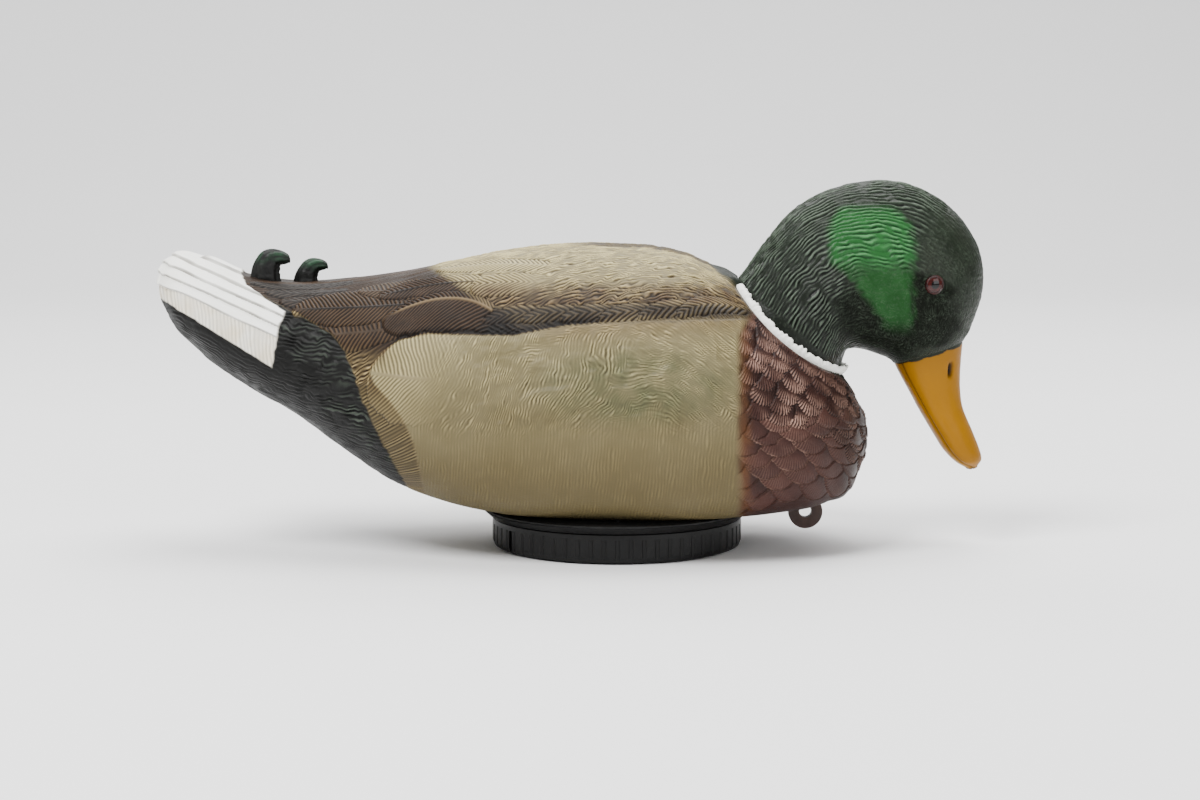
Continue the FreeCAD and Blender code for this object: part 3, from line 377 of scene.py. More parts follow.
class Plumage:
    """Feathers laid over a grid: a height in millimetres and paint masks for each point."""

    def __init__(self, x, s):
        self.x, self.s = x, s
        for layer in ("height", "own", "shade", "light", "tone", "crest"):
            setattr(self, layer, np.zeros_like(x))

    def lay(self, base, tip, up, down, bend=0.0, lift=0.8, pitch=1.9, barb=0.2, slant=0.8, quill=0.3,
            pale=0.0, dark=0.0, tone=0.0, point=2.0, root=0.0, fan=False, glow=0.0, brim=0.0, etch=1.0,
            seed=1):
        """One feather from base to tip, wide by `up` and `down` on its two sides.

        Its barbs cross the quill at a `slant`, or spread from the base in a fan.
        """
        base, tip = np.array(base, float), np.array(tip, float)
        run = tip - base
        length = np.hypot(*run)
        run = run / length
        dx, ds = self.x - base[0], self.s - base[1]
        a = dx * run[0] + ds * run[1]
        t = a / length
        b = ds * run[0] - dx * run[1] - bend * 4 * t * (1 - t)
        body = np.where(t > 0.45, 1 - np.clip((t - 0.45) / 0.55, 0, 1) ** point, 1.0) ** 0.5
        body = body * np.where(t < 0.45, 0.62 + 0.38 * np.clip(t / 0.45, 0, 1), 1.0)
        width = np.where(b > 0, up, down) * body
        width = width * (1 + 0.05 * noise(a / 2.5, b * 0, seed + 5))
        inside = (t > 0) & (t < 1) & (np.abs(b) < width)
        if not inside.any():
            return
        a, b, t, width = a[inside], b[inside], t[inside], width[inside]
        edge = width - np.abs(b)
        wander = 0.3 * noise(a / 9, b / 6, seed) + 0.12 * noise(a / 3, b / 3, seed + 9)
        if fan:
            phase = np.arctan2(b, a - 0.3 * length) * 0.7 * length / pitch
        else:
            phase = (a * slant - np.abs(b) * math.sqrt(max(0.0, 1 - slant**2))) / pitch
        crest = (0.5 + 0.5 * np.cos(2 * np.pi * (phase + wander))) ** 0.7
        wave = 2 * crest - 1
        clear = smooth(np.abs(b), 0.2, 1.2) if quill > 0 else np.ones_like(b)
        fade = smooth(edge, 0.0, 1.2) * smooth((1 - t) * length, 0.0, 1.6)
        height = lift * (0.25 + 0.75 * t) * (0.4 + 0.6 * fade)
        height += 0.35 * (1 - (b / np.maximum(width, 0.1)) ** 2) * lift
        height += barb * wave * clear
        spine = np.exp(-((b / 0.7) ** 2)) * smooth(1 - t, 0.02, 0.2) * (quill > 0)
        height += quill * spine
        rim = 1 - smooth(np.minimum(edge, (1 - t) * length), 0.0, 0.9)
        weight = smooth(t, 0, root) if root > 0 else np.ones_like(t)
        groove = (1 - crest) * clear * (barb > 0)
        # Each fan feather is darkened just below the tip of the feather over it: a painted shadow.
        tucked_shadow = (1 - smooth(t, 0.4, 0.72)) * fan
        tip_light = smooth(wave, 0.1, 0.9) * smooth(t, 0.62, 0.82)
        # The shade layer is painted shade in the barb grooves, along the rims and under the feather above,
        # and it also holds the dark paint of the quills.
        layers = {
            "height": height,
            "own": 1.0,
            "shade": np.clip(etch * groove + dark * spine + 0.35 * rim * (not fan) + 0.7 * tucked_shadow, 0, 1),
            "light": np.clip(pale * spine + glow * tip_light + brim * rim * t, 0, 1),
            "tone": tone,
            "crest": np.clip(wave, 0, 1) * clear * (barb > 0) * (1 - rim),
        }
        for key, layer in layers.items():
            whole = getattr(self, key)
            whole[inside] = whole[inside] * (1 - weight) + layer * weight


def near_half():
    """The near half of the smooth body: points, outward normals and where each point is seen."""
    points, girth = body_half()
    normal = grid_normals(points)
    normal[:, 0, 1] = 0
    normal[:, -1, 1] = 0
    centre_z = 0.5 * (points[:, :1, 2] + points[:, -1:, 2])
    outward = normal[..., 1] * points[..., 1] + normal[..., 2] * (points[..., 2] - centre_z)
    normal = np.where((outward < 0)[..., None], -normal, normal)
    normal /= np.maximum(np.linalg.norm(normal, axis=-1, keepdims=True), 1e-9)
    sx, sz = seen(points)
    from_neck = np.sqrt(np.sum((points - NECK) ** 2, -1) - ((points - NECK) @ NECK_AXIS) ** 2)
    return SimpleNamespace(
        points=points, normal=normal, x=points[..., 0], s=girth, sx=sx, sz=sz, from_neck=from_neck
    )


def paint_regions(near):
    """How far each point belongs to each painted region, by where it is seen from the side."""
    x, s, sx, sz = near.x, near.s, near.sx, near.sz
    ragged = 1.1 * noise(s / 2.2, x / 9, 3)
    white_edge = np.interp(sz, [80, 86, 104.6, 113.4, 126, 140], [-167, -167.3, -164.4, -161, -179.5, -186])
    white_floor = np.interp(sx, [-222, -167], [120.5, 86])
    white = smooth(white_edge - sx + 0.4 * ragged, -0.6, 0.6)
    white = white * smooth(sz - white_floor + 0.3 * ragged, -0.5, 0.5)
    black_edge = np.interp(
        sz,
        [10, 27.4, 42.5, 58.6, 69.4, 82, 94.8, 103.1, 111.4, 117, 126.5, 140],
        [-93, -101.4, -109.6, -117.9, -123.2, -127, -132.4, -138.7, -153.7, -164, -181, -190],
    )
    black = smooth(black_edge - sx + 0.5 * ragged, -0.8, 0.8) * (1 - white)
    pocket_top = np.interp(
        sx, [-120, -119.3, -114, -105.7, -90.7, -66.4, -50, -25.7, 1.5, 59.7, 80],
        [78, 84.5, 91.9, 99.5, 102.6, 102.1, 102.1, 106.5, 109, 110.4, 108],
    )
    pocket_back = np.interp(sz, [20, 50, 62, 70, 78, 84.5], [-92, -99, -104.5, -110, -117, -119.5])
    soft = 1.0 + 2.2 * smooth(sx, -25, 10)
    above = smooth((sz - pocket_top) / soft, -1.0, 1.0)
    band_top = np.interp(
        sx, [-70, -63.5, -47, -8, 21, 50, 60, 70], [112, 115, 115.5, 116.5, 117, 116.5, 115.5, 114]
    )
    band = above * smooth(band_top - sz, -2.0, 1.5) * smooth(sx, -70, -60) * (1 - smooth(sx, 63, 72))
    wing = (1 - black) * (1 - white) * (1 - smooth(sx + 1.4 * (sz - 118), -70, -60))
    wing = wing * np.where(sx < -112, smooth(sz, 84, 98), smooth(sz - pocket_top, -1.0, 1.5))
    chestnut = smooth(sx + 0.6 * noise(x / 4, s / 9, 8), 56.5, 62.5)
    chestnut_top = np.interp(sx, [57, 62, 66, 71, 110], [99, 106, 112, 150, 150])
    chestnut = chestnut * (1 - smooth(sz - chestnut_top, -3, 6))
    clear = (1 - black) * (1 - white) * (1 - chestnut)
    wing = wing * (1 - chestnut)
    forward = smooth(sx - pocket_back, -1.2, 1.2)
    flank = clear * (1 - above) * forward
    behind = clear * (1 - above) * (1 - forward) * (1 - wing)
    back = clear * above * (1 - band) * (1 - wing)
    return SimpleNamespace(
        white=white, black=black, band=band, wing=wing, chestnut=chestnut, clear=clear, flank=flank,
        behind=behind, back=back, pocket_top=pocket_top, ragged=ragged,
    )


def lay_coat(near):
    """Overlapping feathers of the tail, wing and scapulars, each from base to tip as they are seen."""
    coat = Plumage(near.x, near.s)

    def at(x, z):
        k = np.argmin((near.sx - x) ** 2 + (near.sz - z) ** 2)
        return near.x.flat[k], near.s.flat[k]

    def feather(base, tip, up, down, **more):
        coat.lay(at(*base), at(*tip), up, down, **more)

    for k in range(5):
        drop = 4.6 * k
        feather((-128 - 3 * k, 128 - 0.9 * drop), (-178 + 7 * k, 127.5 - drop), 5.5, 5.5, lift=0.9, pitch=1.8,
                barb=0.12, slant=0.5, quill=0.25, dark=0.5, tone=-0.7 + 0.12 * k, seed=20 + k)
    feather((-104, 106), (-149, 101.5), 9, 9, lift=0.8, barb=0.18, slant=0.9, quill=0.15, tone=0.1, seed=29)
    feather((-99, 117), (-157.5, 113.8), 15, 11, bend=1.0, lift=1.2, pitch=1.7, barb=0.3, quill=0.45,
            dark=1.0, tone=0.12, seed=31)
    feather((-66, 124.5), (-126, 123), 13, 7, lift=1.0, pitch=1.7, barb=0.28, slant=0.75, quill=0.3, dark=0.3,
            tone=0.2, seed=32)
    feather((-66, 127.6), (-116, 119.8), 10, 7, bend=3.2, lift=1.2, pitch=1.7, barb=0.3, slant=0.72,
            quill=0.45, dark=1.0, seed=33)
    feather((-60, 113.6), (-113, 109), 6, 19, bend=9.0, lift=1.3, pitch=1.6, barb=0.32, slant=0.72,
            quill=0.55, pale=0.9, tone=-0.05, seed=34)
    feather((-34, 136), (-88, 133.5), 8, 8, lift=0.9, pitch=1.7, barb=0.24, slant=0.7, quill=0.2, tone=0.9,
            seed=36)
    feather((-30, 128), (-71, 125.5), 8, 9, lift=1.3, pitch=1.7, barb=0.3, slant=0.62, quill=0, tone=0.3,
            point=6.0, root=0.5, seed=35)
    # dark scapulars in the band
    for k in range(6):
        px = -66 + 19 * k
        feather((px + 34, 112.5 + 0.3 * k), (px, 108.5 + 0.5 * k), 5, 5, bend=1.5, lift=0.7, barb=0.26,
                slant=0.5, quill=0, seed=50 + k)
    # the pocket's hind feather, which grows out of the flank
    feather((-66, 79), (-120, 84.2), 21, 21, bend=-1.0, lift=1.1, pitch=1.7, barb=0.15, slant=0.82, quill=0.4,
            pale=0.3, tone=0.3, point=2.4, root=0.75, etch=0.6, seed=40)
    return coat


def lay_breast(near):
    """Breast scallops: rows slope down towards the front, and the upper ones lie on top."""
    around_front = near.sx + 0.5 * (72 - np.abs(near.points[..., 1]))
    breast = Plumage(around_front, 112 - near.sz)
    scales = []
    for j in range(14):
        drop = -6 + 7.8 * j
        low = float(smooth(drop, 40, 62))
        for i in range(11):
            jitter = [float(hashed(np.int64(i), np.int64(j), 4 + k)) for k in range(4)]
            bx = 44 + (12.0 + 5.0 * low) * (i + 0.5 * (j % 2)) + 1.4 * jitter[0]
            bs = drop + (0.46 - 0.6 * low) * (bx - 62) + 0.9 * jitter[1]
            if bx < 156:
                scales.append((-bs, bx, low, jitter[2], jitter[3]))
    for k, (rise, bx, low, turn, tint) in enumerate(sorted(scales)):
        reach = 20 + 4 * low
        lean = 0.65 + 0.6 * float(smooth(bx, 48, 78)) + 0.14 * turn
        half_width = 8.0 + 4.6 * low
        base = (bx + reach * math.cos(lean), -rise - reach * math.sin(lean))
        breast.lay(base, (bx, -rise), half_width, half_width, lift=1.25 + 0.25 * low, pitch=1.75,
                   barb=0.42 - 0.38 * low, quill=0, tone=0.4 * tint, point=3.0, fan=True,
                   glow=1.0 - 0.85 * low, brim=0.5 * low, etch=0.9 - 0.85 * low, seed=100 + k)
    return breast


def lay_relief(near, area):
    """The fine relief of each region, and how deep in a groove or high on a crest each point is."""
    x, s, sx, sz = near.x, near.s, near.sx, near.sz
    white, black, band, wing = area.white, area.black, area.band, area.wing
    flank, behind, back = area.flank, area.behind, area.back
    # the flank's strokes stand upright below, and lean or lie down above
    fold = 0.6 * noise(x / 13, s / 6, 11) + 0.4 * noise(x / 6, s / 3.5, 12)
    upright = waves(s, x + 0.08 * s, 1.5, 7, 0.3, 14) * (0.65 + 0.5 * noise(x / 9, s / 4, 10))
    drift = 5 * noise(x / 22, s / 22, 18)
    leaning = waves(s - 0.4 * x, x + 0.45 * s + drift, 1.5, 4, 0.5, 15)
    level = waves(x, s - 0.25 * x + drift, 1.5, 4, 0.5, 16)
    low_flank = smooth(sz + 4 * noise(x / 14, s / 30, 19), 66, 50)
    patchy = 0.3 + 0.95 * smooth(noise(x / 3.8, s / 3.8, 20), -0.4, 0.35)
    choice = smooth(noise(x / 10, s / 9, 17) + 0.02 * (sx - 5) + 0.02 * (sz - 80), -0.15, 0.15)
    choice = choice * (1 - low_flank)
    stroke = (leaning * (1 - choice) + level * choice) * patchy
    stroke = upright * low_flank + stroke * (1 - low_flank)
    centre = smooth(sz, 46, 62) * (1 - smooth(sz, 94, 104)) * smooth(sx, -85, -50)
    crease = 1 - 2 * np.abs(fold) ** 0.7
    flank_height = 0.3 + (0.13 + 0.12 * (1 - low_flank)) * stroke + (0.8 * fold + 0.6 * crease) * centre
    flank_height = flank_height + 0.25 * noise(x / 2.6, s / 2.6, 13) * (1 - low_flank)
    ripple = waves(x + 0.3 * s, s + 0.3 * x, 1.85, 4.0, 0.8, 21)
    back_height = 0.5 + 0.46 * ripple + 0.2 * noise(x / 12, s / 6, 22)
    rump = waves(0.92 * x + 0.38 * s, s - 0.38 * x, 2.4, 4.5, 0.7, 25)
    rump_gain = smooth(sx, -172, -152) * smooth(sz - np.interp(sx, [-170, -100], [82, 28]), -4, 14)
    rump_gain = np.clip(0.28 + 0.8 * rump_gain * (0.75 + 0.5 * noise(x / 9, s / 9, 26)), 0, 1)
    black_height = 0.35 + 0.55 * rump * rump_gain + 0.3 * noise(x / 10, s / 6, 27)
    slope = sz + 0.461 * (sx + 218.5) + 0.5 * noise(x / 20, s / 5, 30)
    strip = (slope - 125.4) / 5.6
    saw = np.mod(strip, 1.0)
    upper_tail = smooth(slope, 124.9, 125.9)
    hatch = waves(s, x - 0.1 * s, 1.8, 12, 0.4, 32)
    tail_upper = 0.4 + 1.3 * (1 - saw) * smooth(saw, 0.0, 0.12) + 0.1 * noise(sx / 3, slope / 0.8, 31)
    tail_band = 0.2 + 0.16 * hatch
    white_height = tail_band + (tail_upper - tail_band) * upper_tail
    behind_wave = waves(x + 0.3 * s, s + 0.35 * x, 1.95, 16, 0.3, 35)
    behind_height = 0.15 + 0.2 * behind_wave
    band_wave = waves(x + 0.8 * s, s - 0.8 * x, 2.4, 8, 0.45, 36)

    height = back * back_height + flank * flank_height + behind * behind_height
    height = height + band * (0.3 + 0.3 * band_wave) + wing * (0.25 + 0.24 * behind_wave)
    height = height * (1 - black) * (1 - white)
    height = height + black * black_height + white * white_height

    def both(lift):
        """The relief's paint: `lift` of each region's wave, weighted by its region."""
        paint = back * (1.0 + 0.5 * smooth(sz, 132, 118)) * lift(ripple)
        paint = paint + flank * (0.3 + 0.4 * (1 - low_flank)) * lift(stroke)
        paint = paint + (behind + wing) * lift(behind_wave)
        return (paint + band * lift(band_wave)) * (1 - black) * (1 - white)

    # The grooves are painted darker and the crests lighter: partly a paint wash and dry-brushing, partly
    # painted shade and painted highlight.
    groove = both(lambda wave: 0.5 * (1 - wave))
    crest = both(lambda wave: np.clip(wave, 0, 1))
    # Thin dark lines between the upper tail's strips: painted shadow lines.
    slit_shadows = upper_tail * (1 - smooth(saw, 0.04, 0.2)) * (0.75 + 0.35 * noise(x / 12, s / 3, 33))
    groove = groove + white * slit_shadows
    # The white band's hatching and the rump's grooves are darkened as well: painted shade.
    groove = groove + white * (1 - upper_tail) * 0.3 * (1 - hatch)
    groove = groove + black * 0.5 * (1 - rump) * rump_gain
    # A green-grey painted sheen on the crests of the rump's ridges.
    rump_sheen = black * smooth(rump, 0.1, 0.9) * np.clip(1.6 * (rump_gain - 0.4), 0, 1)
    rump_sheen = rump_sheen * smooth(noise(x / 10, s / 7, 28) + 0.02 * (sx + 150), -0.3, 0.5)
    return SimpleNamespace(height=height, groove=groove, crest=crest, painted_sheen=rump_sheen, upper_tail=upper_tail)


def add_feathers(near, area, relief, coat, breast):
    """The laid feathers over the relief: the wing's need the wing, the breast's the chestnut."""
    x, s, sx, sz = near.x, near.s, near.sx, near.sz
    white, chestnut, flank = area.white, area.chestnut, area.flank
    clear, pocket_top, ragged = area.clear, area.pocket_top, area.ragged
    height, groove, crest = relief.height, relief.groove, relief.crest
    use = coat.own * (1 - white) * (1 - chestnut)
    over_black = smooth(sz, 110, 112.5) * (sx < -100)
    use = use * (1 - area.black * (1 - over_black))
    area.black = area.black * (1 - coat.own * over_black)
    height = height * (1 - use) + coat.height * use
    groove = groove * (1 - use) + coat.shade * use
    crest = crest * (1 - use) + coat.crest * use
    light = coat.light * use
    tone = coat.tone * use
    bibbed = breast.own * chestnut
    height = height * (1 - chestnut) + chestnut * (0.3 + 0.1 * noise(x / 5, s / 5, 44))
    height = height * (1 - bibbed) + bibbed * (breast.height - 1.1) * smooth(sx, 50, 60)
    groove = groove * (1 - chestnut) + chestnut * 0.35
    groove = groove * (1 - bibbed) + bibbed * breast.shade
    crest = crest * (1 - chestnut) + bibbed * 0.5 * breast.crest
    streak = bibbed * breast.light * (1 - smooth(sz, 104, 116))
    streak = streak * np.clip(0.75 + 0.9 * noise(x / 9, s / 8, 45), 0, 1) * (1 - 0.5 * smooth(sx, 88, 104))
    tone = tone * (1 - chestnut) + breast.tone * bibbed
    # the pocket stands a little proud of what lies above and behind it
    sunk = pocket_top - sz
    height = height + flank * smooth(sunk, 0, 1.5) * (1 - smooth(sunk, 3, 16))
    # A dark line painted just above the pocket's edge: a painted shadow where it tucks under the feathers
    # above.
    lip_shadow = smooth(-sunk, 0, 0.8) * (1 - smooth(-sunk, 1.0, 4.5)) * smooth(sx, -112, -100)
    lip_shadow = lip_shadow * clear * (1 - smooth(sx, -25, 15))
    groove = np.clip(groove + 0.7 * lip_shadow, 0, 1)
    # the neck's dark flare on the back
    collar = (1 - smooth(near.from_neck + ragged, 45, 51)) * (1 - smooth(s, 17, 25))
    collar = collar * smooth(near.points[..., 2], 116, 124)
    height = height * (1 - collar) + collar * (0.4 + 2.0 * (1 - smooth(near.from_neck, 39, 50)))
    relief.height, relief.groove, relief.crest, relief.collar = height, groove, crest, collar
    relief.light, relief.tone, relief.streak = light, tone, streak


def raised_points(near, relief):
    """The near half with its relief, the hollow that takes the white ring and the seat of the flange."""
    z = near.points[..., 2]
    height = relief.height * (0.35 + 0.65 * smooth(near.s, 0, 6))
    height = height * smooth(z, 15, 26) - 0.35
    points = near.points + near.normal * height[..., None]
    over = (points - NECK) @ NECK_AXIS
    sideways = (points[..., 1] ** 2) / np.maximum(near.from_neck, 1) ** 2
    rearward = -((points - NECK) @ NECK_FORWARD) / np.maximum(near.from_neck, 1)
    over = np.maximum(over + RING_DIP * sideways + 0.3, 0) * (1 - smooth(near.from_neck, 38.5, 52))
    over = over * (sideways > 0.01) * (1 - smooth(rearward, 0.84, 0.94))
    points = points - over[..., None] * NECK_AXIS * smooth(z, 70, 80)[..., None]
    points[:, 0, 1] = 0
    points[:, -1, 1] = 0
    # points near the seat's rim move onto it, and those inside it rise to the seat
    reach = np.hypot(points[..., 0], points[..., 1])
    low = points[..., 2] < 26
    near_rim = 0.45 / FINE
    snap = low & (np.abs(reach - SEAT_RADIUS) < near_rim)
    for axis in (0, 1):
        moved = points[..., axis] * SEAT_RADIUS / np.maximum(reach, 1)
        points[..., axis] = np.where(snap, moved, points[..., axis])
    lifted = low & (reach < SEAT_RADIUS - near_rim)
    points[..., 2] = np.where(lifted, np.maximum(points[..., 2], SEAT_HEIGHT), points[..., 2])
    return points


def without_openings(points, faces):
    """The faces outside the neck's socket and the floor's opening."""
    centre = points[faces].mean(1)
    offset = centre - NECK
    axial = offset @ NECK_AXIS
    radial = np.sqrt(np.maximum(np.sum(offset**2, 1) - axial**2, 0))
    socket = (radial < SOCKET_OPENING) & (axial > -13)
    hole = (np.hypot(centre[:, 0], centre[:, 1]) < FLOOR_OPENING) & (centre[:, 2] < 24)
    return faces[~(socket | hole)]


def socket_wall():
    """A grid of points round the socket's wall, under the white ring."""
    angle = np.linspace(0, 2 * np.pi, 96, endpoint=False)
    top = -RING_DIP * np.sin(angle) ** 2 + 0.2
    circle = NECK + SOCKET_WALL * (np.cos(angle)[:, None] * NECK_FORWARD + np.sin(angle)[:, None] * LEFT)
    heights = [-SOCKET_DEPTH + (top + SOCKET_DEPTH) * part for part in (1.0, 0.75, 0.5, 0.25, 0.0)]
    return np.stack([circle + height[:, None] * NECK_AXIS for height in heights])


def region_masks(near, area, relief):
    """The paint masks of the near half."""
    x, s, sx, sz = near.x, near.s, near.sx, near.sz
    return {
        "white": area.white, "black": area.black, "wing": np.clip(area.wing, 0, 1), "band": area.band,
        "chestnut": area.chestnut, "flank": area.flank, "behind": area.behind,
        "groove": relief.groove, "crest": relief.crest, "light": relief.light, "streak": relief.streak,
        # The rump's green-grey crest mask is a painted sheen.
        "tone": relief.tone, "painted_sheen": relief.painted_sheen,
        "green": smooth(1 - ((sx - 10) / 62) ** 2 - ((sz - 77) / 23) ** 2, 0, 0.9) * area.flank,
        "rim": area.chestnut * (1 - smooth(sx + 2 * noise(s / 4, x / 4, 47), 60, 67)),
        "umber": smooth(1 - ((sz - 118) / 11) ** 2, 0, 0.8) * area.back,
        "cream": area.white * (1 - relief.upper_tail),
        "warm": smooth(area.pocket_top - sz, 13, 0) * smooth(sx, -50, -20) * area.flank,
        "ridge": (1 - smooth(s, 9, 14)) * smooth(sx, -30, -8) * (1 - smooth(sx, 66, 74)),
        "high": smooth(sz, 112, 140),
        "faded": smooth(sz + 3 * noise(x / 8, s / 8, 48), 92, 66),
        # Darker towards the underside: painted shade.
        "depth": smooth(sz, 98, 30),
        "front": smooth(sx, 92, 122) * area.chestnut,
        "collar": np.maximum(relief.collar, (1 - smooth(near.from_neck, 37.5, 39.5)) * smooth(sz, 40, 60)),
    }


def mirrored(values):
    """The near half's rows with the far half's after them, as a mirror copy."""
    return np.concatenate([values, values[:, 1:-1][:, ::-1]], axis=1)


def body_piece():
    near = near_half()
    area = paint_regions(near)
    relief = lay_relief(near, area)
    add_feathers(near, area, relief, lay_coat(near), lay_breast(near))
    full = mirrored(raised_points(near, relief))
    full[:, ROWS:, 1] *= -1
    faces = grid_faces(*full.shape[:2], wrap=True)
    points = full.reshape(-1, 3)
    wall = socket_wall()
    wall_faces = grid_faces(*wall.shape[:2], wrap=True) + len(points)
    faces = np.concatenate([without_openings(points, faces), wall_faces])
    wall = wall.reshape(-1, 3)
    masks = region_masks(near, area, relief)
    masks = {k: np.concatenate([mirrored(m).ravel(), np.zeros(len(wall))]) for k, m in masks.items()}
    # The socket's wall is fully darkened: painted shade inside the recess under the ring.
    masks["groove"][-len(wall):] = 1
    piece = mesh_object("plumage_body", np.concatenate([points, wall]), faces[:, ::-1], masks)
    piece.data.materials.append(body_paint())
    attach(piece, "hull")
    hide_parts("body_shell")
    return piece


def body_paint():
    m = Paint("painted_plumage", roughness=0.5, specular=0.14)
    cloud = m.noise(45, 4)
    patch = m.noise(110, 3)
    grain = m.noise(900, 2)
    back = m.mix(m.mask("high"), (118, 104, 74), (150, 141, 104))
    back = m.wash("umber", m.blend(patch, 0.3, 0.95), back, (68, 53, 40))
    khaki = m.mix(cloud, (140, 131, 98), (123, 114, 82))
    # The flank darkens towards the underside: painted shade.
    khaki = m.washes(khaki, ("depth", 0.85, (86, 75, 48)),
        ("green", m.blend(patch, 0.2, 0.8), (84, 88, 62)), ("warm", 0.45, (104, 82, 54)))
    colour = m.mix(m.mask("flank"), back, khaki)
    hind = m.mix(m.mask("faded"), (50, 37, 22), (91, 80, 55))
    colour = m.mix(m.mask("behind"), colour, hind)
    brown = m.mix(patch, (50, 37, 26), (37, 27, 19))
    light_brown = m.mix(patch, (78, 63, 43), (62, 48, 32))
    tone_up = m.math("MULTIPLY", m.mask("tone"), 1.6, clamp=True)
    tone_down = m.math("MULTIPLY", m.mask("tone"), -1.4, clamp=True)
    wing = m.mix(tone_up, brown, light_brown)
    wing = m.mix(tone_down, wing, (36, 32, 29))
    colour = m.mix(m.mask("wing"), colour, wing)
    band = m.mix(patch, (33, 27, 23), (24, 20, 17))
    colour = m.wash("band", m.blend(cloud, 0.8, 1.0), colour, band)
    colour = m.wash("ridge", 0.85, colour, (50, 38, 30))
    # A lighter copy on the crests is a painted highlight, partly dry-brushing; the darker copy in the grooves
    # is a paint wash and painted shade, also in the feathers' tucked and rim shadows.
    crest_highlight = m.mix(1.0, colour, (2.1, 2.04, 1.9, 1), "MULTIPLY")
    colour = m.wash("crest", 0.8, colour, crest_highlight)
    colour = m.mix(m.mask("groove"), colour, m.mix(1.0, colour, (84, 66, 47), "MULTIPLY"))
    colour = m.wash("light", 0.8, colour, (124, 104, 74))
    coal = m.mix(patch, (15, 15, 14), (21, 21, 20))
    # The black is darker in its grooves, a paint wash and painted shade, and takes a green-grey painted sheen
    # on its crests.
    coal = m.washes(coal, ("groove", 0.8, (7, 7, 6)), ("painted_sheen", m.blend(cloud, 0.3, 1.0), (84, 93, 82)))
    colour = m.mix(m.mask("black"), colour, coal)
    snow = m.mix(cloud, (255, 255, 250), (248, 247, 238))
    # The cream tint is paint; the white's darkened slits and hatching are painted shade.
    snow = m.washes(snow, ("cream", m.blend(patch, 0.3, 1.0), (240, 228, 200)),
        ("groove", 0.8, (104, 98, 90)))
    colour = m.mix(m.mask("white"), colour, snow)
    rust = m.mix(patch, (60, 35, 30), (48, 27, 23))
    rust = m.mix(m.math("MULTIPLY", m.mask("tone"), 0.8, clamp=True), rust, (78, 48, 40))
    # The breast is darker in its grooves and just below each scallop's tip: painted shade.
    rust = m.washes(rust, ("front", 0.8, (34, 22, 18)), ("groove", 0.85, (16, 8, 6)),
        ("streak", m.blend(cloud, 0.4, 0.95), (176, 140, 124)), ("rim", 0.75, (86, 54, 30)))
    colour = m.mix(m.mask("chestnut"), colour, rust)
    colour = m.mix(m.mask("collar"), colour, (20, 26, 18))
    m.bump(grain, 0.00012, 0.6)
    m.bump(m.noise(2600, 2), 0.00005, 0.5)
    return m.finish(colour, m.blend(cloud, 0.42, 0.58))


# --- head, bill, ring, eyes and curls ---


def fan_grid(table, t, around_count):
    """A tube grid through fanned sections.

    Comes with each point's place from the inner to the outer side, its angle, and the sections' chords.
    """
    p = spline(t, np.arange(len(table)), table[:, :6])
    theta = np.linspace(0, 2 * np.pi, around_count, endpoint=False)
    c, s = np.cos(theta)[None], np.sin(theta)[None]
    outer, inner = p[:, None, 0:2], p[:, None, 2:4]
    widest = p[:, None, 5]
    place = widest + np.where(s >= 0, 1 - widest, widest) * s
    flat = inner + (outer - inner) * place[..., None]
    y = -p[:, None, 4] * c
    points = np.stack([flat[..., 0], y, flat[..., 1]], -1)
    return points, place, np.broadcast_to(theta[None], y.shape), np.linalg.norm(p[:, 0:2] - p[:, 2:4], axis=1)


def outward_normals(points):
    """Unit normals of a tube grid, pointing away from its middle."""
    ring = np.concatenate([points[:, -1:], points, points[:, :1]], axis=1)
    n = grid_normals(ring)[:, 1:-1]
    centre = points.mean(axis=1, keepdims=True)
    flip = np.sum(n * (points - centre), -1, keepdims=True) < 0
    return np.where(flip, -n, n)


